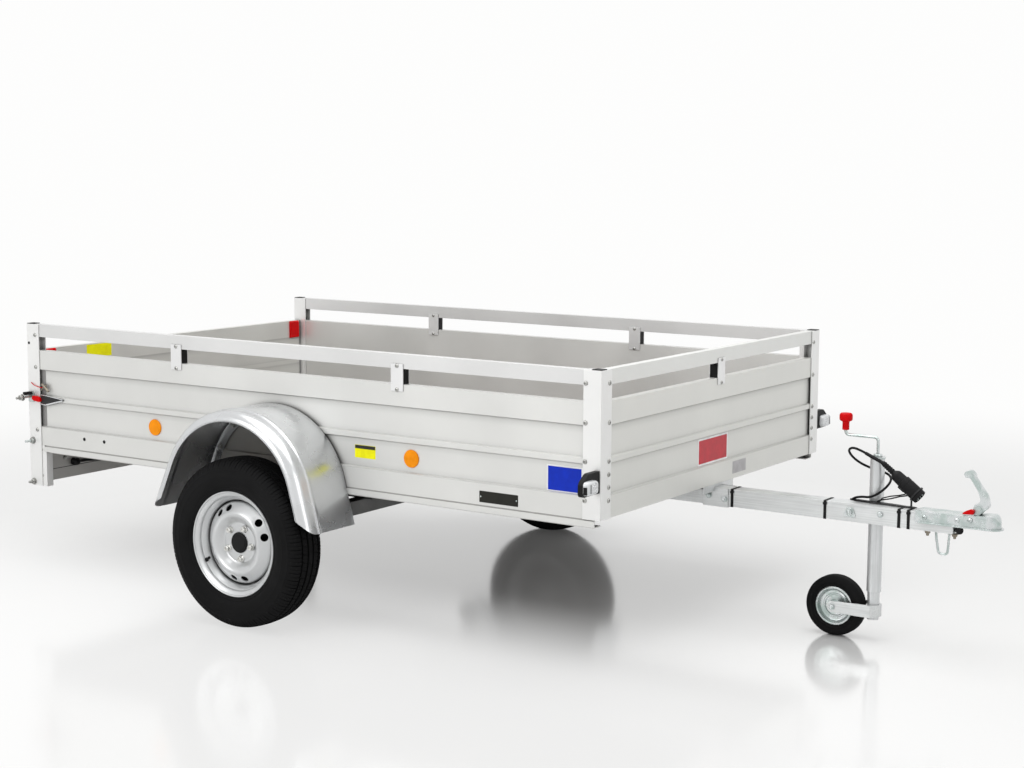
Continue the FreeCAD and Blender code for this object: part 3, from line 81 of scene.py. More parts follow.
def make_camera():
    turn, dip, roll = map(math.radians, (CAMERA_TURN, CAMERA_DIP, CAMERA_ROLL))
    back = Vector((math.sin(turn) * math.cos(dip), -math.cos(turn) * math.cos(dip), math.sin(dip)))
    right = Vector((math.cos(turn), math.sin(turn), 0))
    up = back.cross(right)
    side = right * math.cos(roll) + up * math.sin(roll)
    top = up * math.cos(roll) - right * math.sin(roll)
    data = bpy.data.cameras.new("camera")
    data.lens = CAMERA_LENS
    data.sensor_width = 36
    data.clip_end = 100
    camera = put("camera", data)
    turned = Matrix((side, top, back)).transposed().to_4x4()
    camera.matrix_world = Matrix.Translation(spot(*CAMERA_PLACE)) @ turned
    bpy.context.scene.camera = camera


make_camera()


# Materials

# Middle of the wheel arches, in millimetres and then in the frame; outer faces of the side and front walls, and the
# heights in metres with the shares of the painted shade under their lips.
GUARD_X = -28
GUARD_Z = 432
ARCH = spot(GUARD_X, 0, GUARD_Z)
SIDE_OUT = 0.786
FRONT_OUT = spot(1272, 0, 0).x
LIPS = (
    (0.5575, 1.0), (0.5585, 0.80), (0.566, 0.93), (0.582, 1.0), (0.636, 1.0), (0.652, 0.91), (0.6595, 0.74),
    (0.6605, 1.0), (0.6765, 1.0), (0.6775, 0.84), (0.684, 0.95), (0.697, 1.0), (0.752, 1.0), (0.768, 0.90),
    (0.7795, 0.66), (0.7805, 1.0),
)
# Colour of the painted shade on the walls under the mudguards.
ARCH_SHADE = (0.20, 0.19, 0.175, 1)

# Stretches that draw fine noise out into lines along one axis.
ALONG_X = (1.2, 420, 420)
ALONG_Y = (420, 1.2, 420)
ALONG_Z = (420, 420, 1.2)
STREAKS_X = (5, 260, 260)
STREAKS_Z = (260, 260, 5)


class Nodes:
    """A node tree, with short ways to add and join nodes."""

    def __init__(self, tree):
        self.tree = tree

    def link(self, source, socket):
        self.tree.links.new(source, socket)

    def feed(self, socket, value):
        """Joins another node's output to a socket, or sets the socket's own value."""
        if isinstance(value, bpy.types.NodeSocket):
            self.link(value, socket)
        else:
            socket.default_value = value

    def fill(self, thing, **values):
        for key, value in values.items():
            self.feed(thing.inputs[key.replace("_", " ")], value)
        return thing

    def add(self, kind, settings=(), **values):
        """A new node with its settings; the values go to its inputs."""
        thing = self.tree.nodes.new("ShaderNode" + kind)
        for key, value in dict(settings).items():
            setattr(thing, key, value)
        return self.fill(thing, **values)

    def calc(self, operation, *values):
        thing = self.add("Math", {"operation": operation})
        for socket, value in zip(thing.inputs, values):
            self.feed(socket, value)
        return thing.outputs[0]

    def mix_shaders(self, share, first, second, out):
        """Mixes two shaders by a share, into the tree's output."""
        thing = self.add("MixShader")
        for socket, value in zip(thing.inputs, (share, first.outputs[0], second.outputs[0])):
            self.link(value, socket)
        self.link(thing.outputs[0], out.inputs[0])


class Paint(Nodes):
    """A material with its shader."""

    def __init__(self, name, color, rough, metal=0.0, coat=0.0, specular=0.5):
        self.made = bpy.data.materials.new(name)
        self.made.use_nodes = True
        super().__init__(self.made.node_tree)
        self.shader = self.tree.nodes["Principled BSDF"]
        self.base = self.shader.inputs["Base Color"]
        self.color = color
        self.place = None
        self.fill(
            self.shader, Base_Color=(*color, 1), Roughness=rough, Metallic=metal, Coat_Weight=coat,
            Coat_Roughness=0.15, Specular_IOR_Level=specular,
        )

    def coords(self, stretch=(1, 1, 1)):
        """Places on the object, in metres, stretched along its axes."""
        if self.place is None:
            self.place = self.add("TexCoord").outputs["Object"]
        return self.add("Mapping", Vector=self.place, Scale=stretch).outputs["Vector"]

    def split_coords(self):
        return self.add("SeparateXYZ", Vector=self.coords()).outputs

    def noise(self, size, stretch=(1, 1, 1), detail=3, rough=0.5):
        thing = self.add("TexNoise", Vector=self.coords(stretch), Scale=size, Detail=detail, Roughness=rough)
        return thing.outputs["Fac"]

    def ramp(self, source, *stops):
        """A ramp over a source; each stop is a place with a grey or a colour."""
        thing = self.add("ValToRGB", Fac=source)
        elements = thing.color_ramp.elements
        while len(elements) < len(stops):
            elements.new(0.5)
        for element, (where, value) in zip(elements, stops):
            element.position = where
            element.color = (*value, 1) if isinstance(value, tuple) else (value, value, value, 1)
        return thing.outputs["Color"]

    def drift(self, source, low, high, edge=0.35):
        """A colour that drifts between two shares of the plain colour."""
        dark, light = (tuple(min(c * share, 1) for c in self.color) for share in (low, high))
        return self.ramp(source, (edge, dark), (1 - edge, light))

    def tint(self, source, low, high):
        self.link(self.drift(source, low, high), self.base)

    def gloss(self, source, low, high):
        self.link(self.ramp(source, (0.3, low), (0.7, high)), self.shader.inputs["Roughness"])

    def bump(self, source, depth, strength, edge=0.0):
        """Relief of a depth, on edges that catch the light as if rounded to a radius, both in metres."""
        thing = self.add("Bump", Height=source, Strength=strength, Distance=depth)
        if edge:
            self.fill(thing, Normal=self.add("Bevel", {"samples": 4}, Radius=edge).outputs["Normal"])
        self.link(thing.outputs["Normal"], self.shader.inputs["Normal"])

    def mix(self, share, first, second, kind="MIX"):
        thing = self.add("Mix", {"data_type": "RGBA", "blend_type": kind})
        for slot, value in ((0, share), (6, first), (7, second)):
            self.feed(thing.inputs[slot], value)
        return thing.outputs[2]

    def over(self, share, color, kind="MIX"):
        """Mixes a colour over the base colour as it is so far."""
        self.link(self.mix(share, self.base.links[0].from_socket, color, kind), self.base)

    def shade_hollows(self, reach, low, full=0.8):
        """Painted shade deep in corners, joints and hollows: the base colour darkens where ambient occlusion finds
        nearby surfaces.
        """
        hollow_shade = self.add("AmbientOcclusion", {"samples": 6}, Distance=reach)
        self.over(1.0, self.ramp(hollow_shade.outputs["AO"], (0.0, low), (full, 1.0)), "MULTIPLY")

    def outside(self, along, level):
        """1 where a place lies further out than a level, to either side, and 0 elsewhere."""
        return self.calc("GREATER_THAN", self.calc("ABSOLUTE", along), level)

    def lip_shade(self, axis, level):
        """Painted shade under the lips of the ribbed panels; axis 0 or 1 is the one that faces out."""
        place = self.split_coords()
        self.over(self.outside(place[axis], level), self.ramp(place[2], *LIPS), "MULTIPLY")

    def arch_shade(self):
        """Painted shade on the outside of the walls above the wheels, under the mudguards."""
        place = self.split_coords()
        squares = []
        for along, centre in ((place[0], ARCH.x), (place[2], ARCH.z)):
            off = self.calc("SUBTRACT", along, centre)
            squares.append(self.calc("MULTIPLY", off, off))
        away = self.calc("SQRT", self.calc("ADD", *squares))
        fade = self.ramp(away, (0.16, 1.0), (0.30, 0.72), (0.315, 0.0))
        self.over(self.calc("MULTIPLY", fade, self.outside(place[1], SIDE_OUT)), ARCH_SHADE)


def aluminium(name, color, lines, rough=0.42, metal=0.5, lips=None, arch=False):
    """Satin extrusion: fine drawing lines along its length, soft blotches, and slight wear in gloss."""
    paint = Paint(name, color, rough, metal)
    fine = paint.noise(1.0, lines, detail=2)
    cloud = paint.noise(3.5, detail=4)
    paint.tint(cloud, 0.965, 1.02)
    # Painted shade in corners and hollows.
    paint.shade_hollows(0.032, 0.16)
    # Painted shade under the panels' lips, where asked.
    if lips:
        paint.lip_shade(*lips)
    # Painted shade around the wheel arches, where asked.
    if arch:
        paint.arch_shade()
    paint.gloss(cloud, rough - 0.05, rough + 0.07)
    paint.bump(fine, 0.00012, 0.35, 0.0008)
    return paint.made


def zinc_dipped(name, color, streaks, rough=0.36):
    """Hot-dip zinc on drawn tube: fine streaks along its length over a faint cloud of greys."""
    paint = Paint(name, color, rough, 0.7)
    fine = paint.noise(1.0, streaks, detail=4, rough=0.6)
    cloud = paint.noise(16, detail=5)
    streaked = paint.drift(fine, 0.80, 1.14, 0.34)
    clouded = paint.drift(cloud, 0.90, 1.07, 0.32)
    paint.link(paint.mix(0.5, streaked, clouded), paint.base)
    # Painted shade in corners and hollows.
    paint.shade_hollows(0.04, 0.35)
    paint.gloss(cloud, rough - 0.06, rough + 0.1)
    paint.bump(fine, 0.0003, 0.25, 0.0012)
    return paint.made


def sheet_zinc(name, color):
    """Bright galvanised sheet: smooth, reflective, with a very faint cloud in its grey."""
    paint = Paint(name, color, 0.28, 0.9)
    cloud = paint.noise(7, detail=3)
    paint.tint(cloud, 0.97, 1.03)
    # Painted shade: a long-reach occlusion darkens the inside of the mudguard.
    paint.shade_hollows(0.24, 0.10, 0.72)
    paint.gloss(cloud, 0.25, 0.32)
    paint.bump(paint.noise(5, detail=1), 0.0006, 0.1)
    return paint.made


def plated(name, color, rough, tone, hollow_shade=0.25):
    """Passivated zinc plating with its faint shift of hue."""
    paint = Paint(name, color, rough, 0.85)
    cloud = paint.noise(26, detail=4)
    paint.link(paint.ramp(cloud, (0.36, color), (0.62, tone)), paint.base)
    # Painted shade in corners and hollows.
    paint.shade_hollows(0.02, hollow_shade)
    paint.gloss(cloud, rough - 0.08, rough + 0.08)
    paint.bump(paint.noise(90, detail=3), 0.0005, 0.3, 0.0006)
    return paint.made


def plastic(name, color, rough, coat, grain, depth, specular=0.5):
    """Moulded plastic, enamel or film, with a grain of this fineness and depth."""
    paint = Paint(name, color, rough, 0, coat, specular)
    cloud = paint.noise(35, detail=3)
    paint.tint(cloud, 0.92, 1.08)
    paint.gloss(cloud, max(rough - 0.06, 0.05), rough + 0.06)
    paint.bump(paint.noise(grain, detail=2), depth, 0.4)
    return paint.made


def silver(name, color):
    """Silver wheel enamel: fine metallic flake under a thin clear coat, with painted shade deep inside the wheel."""
    paint = Paint(name, color, 0.32, 0.5, 0.35)
    paint.tint(paint.noise(900, detail=1), 0.95, 1.05)
    # Painted shade: strong darkening inside the wheel and around its vents.
    paint.shade_hollows(0.03, 0.03, 0.62)
    paint.gloss(paint.noise(18, detail=3), 0.28, 0.38)
    paint.bump(paint.noise(160, detail=2), 0.0001, 0.12)
    return paint.made


def rubber(name, color, rough, specular):
    paint = Paint(name, color, rough, 0, 0, specular)
    cloud = paint.noise(9, detail=5)
    paint.tint(cloud, 0.75, 1.3)
    # Painted shade in corners and hollows.
    paint.shade_hollows(0.02, 0.2)
    paint.gloss(cloud, rough - 0.1, rough + 0.1)
    paint.bump(paint.noise(420, detail=3), 0.0003, 0.35)
    return paint.made


def board(name, color):
    """Film-faced plywood: brown phenolic skin with its pressed wire mesh."""
    paint = Paint(name, color, 0.45, 0, 0.2)
    paint.tint(paint.noise(6, detail=5), 0.7, 1.3)
    grid = paint.add(
        "TexBrick", {"offset": 0}, Vector=paint.coords((8, 8, 8)), Scale=1, Mortar_Size=0.012, Brick_Width=0.05,
        Row_Height=0.05,
    )
    paint.bump(grid.outputs["Fac"], 0.0006, 0.5)
    return paint.made


# Each maker with its materials, and what it is called with after their names.
LABEL = (0.45, 0.0, 120, 0.00005, 0.2)
PAINTS = (
    (aluminium, {
        "wall_side": ((0.71, 0.71, 0.69), ALONG_X, 0.42, 0.5, (1, SIDE_OUT), True),
        "wall_front": ((0.72, 0.72, 0.69), ALONG_Y, 0.42, 0.5, (0, FRONT_OUT)),
        # Painted shadow beside the rear posts.
        "wall_end": ((0.27, 0.265, 0.26), ALONG_Z),
        "lamp_bar": ((0.52, 0.51, 0.49), ALONG_Y),
        # Painted shade in the seam over the sills.
        "joint_grey": ((0.42, 0.415, 0.40), ALONG_X),
        "post": ((0.83, 0.83, 0.82), ALONG_Z, 0.4),
        "rail_side": ((0.70, 0.70, 0.695), ALONG_X, 0.4),
        "rail_front": ((0.74, 0.745, 0.725), ALONG_Y, 0.4),
        "plate": ((0.80, 0.80, 0.80), (300, 300, 4), 0.34, 0.6),
    }),
    (zinc_dipped, {
        "galvanised": ((0.68, 0.695, 0.695), STREAKS_X),
        "galvanised_post": ((0.68, 0.695, 0.70), STREAKS_Z),
        # Painted shade: the same zinc made dark for the parts under the floor, which lie in its shade.
        "galvanised_low": ((0.13, 0.13, 0.128), STREAKS_X, 0.45),
    }),
    (plated, {
        "zinc": ((0.66, 0.685, 0.69), 0.28, (0.44, 0.51, 0.49)),
        "zinc_hub": ((0.50, 0.56, 0.53), 0.24, (0.62, 0.66, 0.60)),
        "old_brass": ((0.22, 0.19, 0.15), 0.4, (0.30, 0.27, 0.22)),
        "bright_bolt": ((0.74, 0.735, 0.71), 0.26, (0.60, 0.60, 0.57)),
        "bolt": ((0.34, 0.34, 0.325), 0.34, (0.46, 0.46, 0.44)),
        "chrome": ((0.80, 0.80, 0.81), 0.14, (0.7, 0.71, 0.73), 0.5),
    }),
    (sheet_zinc, {"guard": ((0.64, 0.65, 0.66),)}),
    (silver, {"wheel_paint": ((0.60, 0.61, 0.615),)}),
    (board, {"board": ((0.075, 0.048, 0.034),)}),
    (rubber, {
        "cable": ((0.006, 0.006, 0.0065), 0.5, 0.12),
        "tyre": ((0.0085, 0.0085, 0.0088), 0.7, 0.07),
    }),
    (plastic, {
        "black_steel": ((0.022, 0.022, 0.023), 0.42, 0, 500, 0.0002, 0.25),
        "black_plastic": ((0.0075, 0.0075, 0.008), 0.5, 0, 600, 0.00015, 0.16),
        "red": ((0.62, 0.0015, 0.003), 0.42, 0.0, 600, 0.00015, 0.1),
        "red_lens": ((0.42, 0.008, 0.012), 0.12, 0.5, 200, 0.0002),
        "orange": ((0.96, 0.30, 0.003), 0.3, 0.0, 200, 0.0002, 0.12),
        "clear": ((0.70, 0.715, 0.725), 0.08, 0.6, 150, 0.0002),
        "label_yellow": ((0.95, 0.90, 0.004), *LABEL),
        "label_black": ((0.03, 0.03, 0.025), *LABEL),
        "label_white": ((0.86, 0.86, 0.86), *LABEL),
        "label_blue": ((0.001, 0.028, 0.50), *LABEL),
        "label_red": ((0.55, 0.06, 0.075), *LABEL),
        "label_grey": ((0.50, 0.49, 0.50), *LABEL),
        "type_plate": ((0.016, 0.016, 0.012), 0.4, 0.0, 150, 0.0001, 0.2),
    }),
)
MATERIALS = {name: maker(name, *values) for maker, paints in PAINTS for name, values in paints.items()}

NODE_PAINT = {
    "wall_side": "side_wall_right side_wall_left side_sills",
    "wall_front": "front_wall tailgate",
    "post": "front_posts rear_posts",
    "rail_side": "side_rails",
    "rail_front": "front_rail",
    "plate": "rail_plates",
    "board": "floor_panel",
    "lamp_bar": "lamp_bar",
    # Under the floor the zinc carries painted shade.
    "galvanised_low": "cross_members side_members axle_beam",
    "galvanised": "drawbar drawbar_bracket jockey_clamp jockey_fork",
    "galvanised_post": "jockey_tube jockey_leg",
    "zinc": "gate_pins coupling_head coupling_handle jockey_crank guide_loop tailgate_latches",
    "zinc_hub": "jockey_rim",
    "wheel_paint": "wheel_rim_right wheel_rim_left",
    "guard": "mudguard_right mudguard_left",
    "tyre": "tyre_right tyre_left jockey_tyre",
    "cable": "cable_run cable",
    "black_steel": "swing_arms plug_holder",
    "black_plastic": "post_caps rail_spacers hub_cap_right hub_cap_left plug front_lamp_bases",
    "red": "jockey_knob",
    "red_lens": "rear_lamps",
    "orange": "reflectors",
    "clear": "front_lamp_lenses",
}
for paint, names in NODE_PAINT.items():
    for name in names.split():
        NODES[name].data.materials.clear()
        NODES[name].data.materials.append(MATERIALS[paint])


# Shapes


def mirrored(marks):
    """Profile marks on the other side of the middle, in turn."""
    return [(radius, -out) for radius, out in marks[::-1]]


def bands(rows, wide, joined=False):
    """Faces between rows of points that each go once round; joined closes the last row onto the first."""
    faces = []
    for i in range(rows if joined else rows - 1):
        a, b = i * wide, (i + 1) % rows * wide
        faces += [(a + k, a + (k + 1) % wide, b + (k + 1) % wide, b + k) for k in range(wide)]
    return faces


def shell(rows, wide, around=False):
    """Faces of a sheet made of two layers of rows, closed at its edges; around joins each row's ends."""
    faces = []
    layer = rows * wide
    last = layer - wide
    steps = [(k, (k + 1) % wide) for k in range(wide if around else wide - 1)]
    for i in range(0, last, wide):
        for k, m in steps:
            a, b, c, d = i + k, i + m, i + wide + m, i + wide + k
            faces += [(a, b, c, d), (layer + d, layer + c, layer + b, layer + a)]
    for k, m in steps:
        faces += [(k, layer + k, layer + m, m), (last + m, layer + last + m, layer + last + k, last + k)]
    if not around:
        for a in range(0, last, wide):
            b = a + wide
            faces.append((a, b, layer + b, layer + a))
            a, b = a + wide - 1, b + wide - 1
            faces.append((a, layer + a, layer + b, b))
    return faces


class Shape:
    """Gathers faces in the box's millimetres, then becomes one piece that rides on a body."""

    def __init__(self, paint=None):
        self.mesh = bmesh.new()
        self.paints = []
        self.paint = 0
        if paint:
            self.use(paint)

    def use(self, paint):
        if paint not in self.paints:
            self.paints.append(paint)
        self.paint = self.paints.index(paint)
        return self

    def faces(self, points, faces):
        made = [self.mesh.verts.new(spot(*p)) for p in points]
        for face in faces:
            corners = [made[i] for i in face]
            if len(set(corners)) > 2:
                self.mesh.faces.new(corners).material_index = self.paint

    def prism(self, outline, axis, low, high):
        """An outline carried along an axis; the outline's two numbers are the other two axes in order."""
        count = len(outline)
        points = []
        for level in (low, high):
            for a, b in outline:
                points.append({"x": (level, a, b), "y": (a, level, b), "z": (a, b, level)}[axis])
        self.faces(points, bands(2, count) + [tuple(range(count))[::-1], tuple(range(count, 2 * count))])

    def slab(self, outline, side, near, far):
        """An outline seen from the side, between two distances out on one side of the trailer."""
        self.prism(outline, "y", *sorted((side * near, side * far)))

    def box(self, x, y, z):
        self.prism([(x[0], y[0]), (x[1], y[0]), (x[1], y[1]), (x[0], y[1])], "z", *z)

    def lathe(self, profile, centre, axis=UP, steps=48, closed=False, turn=0.0):
        """A profile of (radius, height) turned about an axis through a centre; an open one ends on the axis."""
        profile = list(profile)
        if not closed:
            if profile[0][0]:
                profile.insert(0, (0, profile[0][1]))
            if profile[-1][0]:
                profile.append((0, profile[-1][1]))
        along = Vector(axis).normalized()
        across = along.orthogonal().normalized()
        if max(abs(along.y), abs(along.z)) > 0.99:
            across = Vector((1, 0, 0))
        other = along.cross(across)
        rings = []
        points = []
        for radius, height in profile:
            base = Vector(centre) + along * height
            if not radius:
                rings.append([len(points)] * steps)
                points.append(base)
                continue
            rings.append(range(len(points), len(points) + steps))
            for i in range(steps):
                angle = math.tau * i / steps + turn
                points.append(base + (across * math.cos(angle) + other * math.sin(angle)) * radius)
        pairs = list(zip(rings, rings[1:]))
        if closed:
            pairs.append((rings[-1], rings[0]))
        faces = []
        for a, b in pairs:
            for i in range(steps):
                j = (i + 1) % steps
                faces.append(tuple(dict.fromkeys((a[i], a[j], b[j], b[i]))))
        self.faces(points, faces)

    def tube(self, points, radius, sides=10):
        """A round bar through a list of places."""
        spots = [Vector(p) for p in points]
        made = []
        normal = None
        for i, place in enumerate(spots):
            ahead = (spots[min(i + 1, len(spots) - 1)] - spots[max(i - 1, 0)]).normalized()
            if normal is None:
                normal = Vector(UP) if abs(ahead.z) < 0.9 else ahead.orthogonal()
            normal = (normal - ahead * normal.dot(ahead)).normalized()
            other = ahead.cross(normal)
            for k in range(sides):
                angle = math.tau * k / sides
                made.append(place + normal * math.cos(angle) * radius + other * math.sin(angle) * radius)
        ends = [tuple(range(sides))[::-1], tuple(range(len(made) - sides, len(made)))]
        self.faces(made, bands(len(spots), sides) + ends)

    def done(self, name, body="chassis", smooth=30, bevel=0.0):
        """Makes the piece: smooth is an angle in degrees, bevel a width in millimetres."""
        bmesh.ops.remove_doubles(self.mesh, verts=self.mesh.verts, dist=1e-6)
        bmesh.ops.recalc_face_normals(self.mesh, faces=self.mesh.faces)
        data = bpy.data.meshes.new(name)
        self.mesh.to_mesh(data)
        self.mesh.free()
        for paint in self.paints:
            data.materials.append(MATERIALS[paint])
        data.polygons.foreach_set("use_smooth", [True] * len(data.polygons))
        data.set_sharp_from_angle(angle=math.radians(smooth))
        thing = put(name, data)
        if bevel:
            edge = thing.modifiers.new("edge", "BEVEL")
            edge.width = bevel / 1000
            edge.segments = 2
            edge.limit_method = "ANGLE"
            edge.angle_limit = math.radians(40)
        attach(thing, body)
        return thing


def screw(shape, centre, axis, radius=8.0, high=3.8):
    """Round head with a hex socket, weathered darker than the posts."""
    shape.lathe([
        (radius * 0.38, high - 2.2), (radius * 0.40, high), (radius * 0.62, high - 0.3), (radius * 0.88, high * 0.6),
        (radius, high * 0.12), (radius, -0.3),
    ], centre, axis, 18)


def hex_bolt(shape, centre, axis, radius=8.0, high=6.0, washer=1.6, stud=0.0):
    """Hexagon head on a washer, with its chamfer, and a stud's end where there is one."""
    top = washer + high
    end = top + stud
    shape.lathe([(radius * 1.45, -0.3), (radius * 1.45, washer)], centre, axis, 24)
    head = [(radius * 1.12, washer), (radius * 1.12, top - 1), (radius * 0.95, top)]
    shape.lathe(head, centre, axis, 6, turn=0.26)
    if stud:
        shape.lathe([(radius * 0.55, top), (radius * 0.55, end - 1), (radius * 0.4, end)], centre, axis, 14)


# Stage and lights

PALE = (0.985, 0.985, 0.98, 1)
FLOOR_SIZE = 40
FLOOR_LEVEL = -0.0005


def make_stage():
    """Glossy pale floor that goes over to plain white far out; in what the camera sees directly, a painted glow toward
    the near side lifts the floor's shadow.
    """
    paint = Paint("pale_floor", (0.84, 0.84, 0.835), 0.14, 0, 0.8, 0.9)
    paint.fill(paint.shader, Coat_IOR=1.7, Coat_Roughness=0.12)
    smooth = {"interpolation_type": "SMOOTHSTEP"}
    away = paint.add("VectorMath", {"operation": "LENGTH"}, Vector=paint.coords()).outputs["Value"]
    far = paint.add("MapRange", smooth, Value=away, From_Min=2.2, From_Max=6.0)
    # Painted light: a glow for camera rays that grows toward the near side and lifts the shadow there.
    near = paint.add(
        "MapRange", smooth, Value=paint.split_coords()[1], From_Min=-0.05, From_Max=-0.95, To_Min=0.04, To_Max=0.66,
    )
    seen = paint.calc("MULTIPLY", paint.add("LightPath").outputs["Is Camera Ray"], near.outputs["Result"])
    share = paint.calc("MAXIMUM", far.outputs["Result"], seen)
    glow = paint.add("Emission", Color=PALE, Strength=1.0)
    paint.mix_shaders(share, paint.shader, glow, paint.tree.nodes["Material Output"])
    data = bpy.data.meshes.new("floor")
    corners = [(x * FLOOR_SIZE, y * FLOOR_SIZE, FLOOR_LEVEL) for x, y in ((-1, -1), (1, -1), (1, 1), (-1, 1))]
    data.from_pydata(corners, [], [(0, 1, 2, 3)])
    data.materials.append(paint.made)
    floor = put("floor", data)


def lamp(name, place, aim, size, power):
    """A rectangular lamp, in metres and watts."""
    data = bpy.data.lights.new(name, "AREA")
    data.shape = "RECTANGLE"
    data.size, data.size_y = size
    data.energy = power
    turned = (Vector(aim) - Vector(place)).to_track_quat("-Z", "Y").to_matrix().to_4x4()
    put(name, data).matrix_world = Matrix.Translation(Vector(place)) @ turned


def make_lights():
    scene = bpy.context.scene
    scene.view_settings.view_transform = "Standard"
    scene.world = bpy.data.worlds.new("studio")
    scene.world.use_nodes = True
    scene.world.node_tree.nodes.clear()
    sky = Nodes(scene.world.node_tree)
    light = sky.add("Background", Color=(1, 1, 1, 1), Strength=0.42)
    seen = sky.add("Background", Color=PALE, Strength=1.0)
    rays = sky.add("LightPath").outputs
    share = sky.calc("MAXIMUM", rays["Is Camera Ray"], rays["Is Glossy Ray"])
    share = sky.calc("MAXIMUM", share, rays["Is Transmission Ray"])
    sky.mix_shaders(share, light, seen, sky.add("OutputWorld"))
    lamp("softbox_top", (0.4, -0.6, 4.2), (0, 0, 0.4), (4.5, 3.5), 140)
    lamp("softbox_front", (5.2, -1.6, 2.6), (1.3, 0, 0.5), (2.2, 1.8), 26)
    lamp("softbox_near", (-1.5, -5.0, 2.6), (-0.3, 0, 0.5), (3.0, 2.0), 66)


make_stage()
make_lights()


# Wheels

AXLE_X = -18
AXLE_Z = 292
WHEEL_Y = 975
VALVE_TURN = math.radians(208)

# Half of the tyre's section from bead to crown as (radius, out), under what cuts across there.
TYRE_HALF = (
    ("wall", (
        (168, 52), (174, 58.5), (180, 61.5), (183.5, 63.5), (188, 66.5), (191, 69.8), (193, 70.6), (195, 70.2),
        (197, 71.6), (203, 75.2), (212, 78.3), (222, 79.8), (232, 80.0), (234, 80.6), (236, 80.0), (245, 79.2),
        (254, 77.2), (256, 77.6), (258, 76.2),
    )),
    ("shoulder", (
        (264, 73.6), (271, 70.2), (277, 66.2), (282, 61.4), (285.5, 56.5), (287.6, 51.5), (288.8, 46), (289.4, 43.5),
    )),
    ("groove", ((283.2, 42.8), (283.0, 37.6))),
    ("rib", ((290.2, 36.8), (290.8, 30), (291.2, 23), (291.3, 16.6))),
    ("groove", ((284.6, 15.8), (284.6, 9.4))),
    ("crown", ((291.8, 8.6), (292.0, 4.0))),
)
PITCHES = 132
PITCH_STEPS = (0.0, 0.13, 0.2, 0.93)

# Closed section of the steel rim as (radius, out): flanges, then bead seats, humps and well from both sides.
FLANGE = [
    (167.5, 52.5), (172, 53.8), (179, 56.5), (182.2, 60.5), (182, 63.4), (180.6, 65.2), (178.6, 65.4), (176.6, 64.0),
    (175.6, 61.2), (170.5, 57.6), (165.5, 55.6),
]
RIM_OUTSIDE = [
    (165.6, -49), (165.2, -38), (163.5, -33), (158, -28), (152, -20), (150, -14), (150, 22), (152, 28), (158, 34),
    (160.5, 38), (165.2, 43), (165.4, 49),
]
RIM_INSIDE = [
    (162.9, 52.5), (162.0, 48), (161.6, 44), (156.8, 39.5), (154.5, 36), (149.4, 31), (147, 23), (147, -15),
    (149.2, -21.8), (155.8, -30.4), (160.4, -35), (162, -39), (162.5, -50),
]

# The pressed disc as (radius, out), where its vents and studs lie, and the rings that it is made of.
DISC_FACE = (
    (30, 27.0), (33.5, 27.2), (36, 28.6), (44, 28.8), (64, 28.2), (68, 27.0), (72, 28.2), (77, 33.0), (84, 41.0),
    (91, 47.6), (96, 50.6), (100, 51.9), (104, 51.8), (107, 50.6), (111, 48.2), (118, 43.2), (128, 35.4),
    (136, 29.0), (140, 25.0), (143, 18.5), (145, 8.0), (146.6, -8.0),
)
VENTS = (15.7, 40.5, 108.5, 130, 196, 218, 260.5, 283)
STUDS = [math.radians(72 * k - 9) for k in range(5)]
STUD_CIRCLE = 56
DISC_RINGS = [
    33.5, 36, 40, *range(44, 80, 3), *range(80, 104, 4), *range(104, 138, 3), 139.5, 141.5, 143, 144.2, 145, 146,
    146.6,
]
DISC_STEPS = 144
DISC_THICK = 4


def wheel_spot(side, radius, angle, out):
    """A place on a wheel: radius and angle round the axle, and how far out from the tyre's middle."""
    return (AXLE_X + radius * math.cos(angle), side * (WHEEL_Y + out), AXLE_Z + radius * math.sin(angle))


def make_tyre(side, hand):
    """Road tyre with grooves, ribs cut by sipes, and a notched shoulder; the sidewall carries plain rings only."""
    half = [(r, out, kind) for kind, marks in TYRE_HALF for r, out in marks]
    section = [(r, -out, kind) for r, out, kind in half] + half[::-1]
    count = PITCHES * len(PITCH_STEPS)
    points = []
    for i in range(count):
        pitch, step = divmod(i, len(PITCH_STEPS))
        angle = math.tau * (pitch + PITCH_STEPS[step]) / PITCHES
        cut = step < 2
        for r, out, kind in section:
            deep, turn = 0.0, angle
            if kind == "shoulder" and cut:
                deep = (3.4 if pitch % 2 else 1.8) * min(1.0, (r - 258) / 12)
            elif kind == "rib":
                turn += 0.0009 * out
                if cut:
                    deep = 2.6 if pitch % 2 == (out > 0) else 1.0
            elif kind == "crown":
                turn += 0.0016 * out
                deep = 1.6 if cut and pitch % 3 == 0 else 0.0
            points.append(wheel_spot(side, r - deep, turn, out))
    shape = Shape("tyre")
    shape.faces(points, bands(count, len(section), joined=True))
    tyre = shape.done("road_tyre_" + hand, "wheel_" + hand)
    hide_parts("tyre_" + hand)


def disc_height(radius, angle):
    """How far out the disc stands: hub flange, dished wall, raised ring, and the slope pressed at the vents."""
    height = DISC_FACE[-1][1]
    for (r0, h0), (r1, h1) in zip(DISC_FACE, DISC_FACE[1:]):
        if r0 <= radius <= r1:
            height = h0 + (h1 - h0) * ((radius - r0) / (r1 - r0))
            break
    if 106 < radius < 142:
        press = 0.0
        for vent in VENTS:
            around = ((math.degrees(angle) - vent + 180) % 360 - 180) / 9.0
            across = (radius - 124) / 13.0
            press = max(press, math.exp(-(around * around + across * across)))
        height -= 3.0 * press * min(1.0, (radius - 106) / 6, (142 - radius) / 5)
    seat = 0.0
    for stud in STUDS:
        dx = radius * math.cos(angle) - STUD_CIRCLE * math.cos(stud)
        dz = radius * math.sin(angle) - STUD_CIRCLE * math.sin(stud)
        seat = max(seat, 1 - min(1, max(0, (math.hypot(dx, dz) - 10) / 4)))
    return height + 1.6 * seat


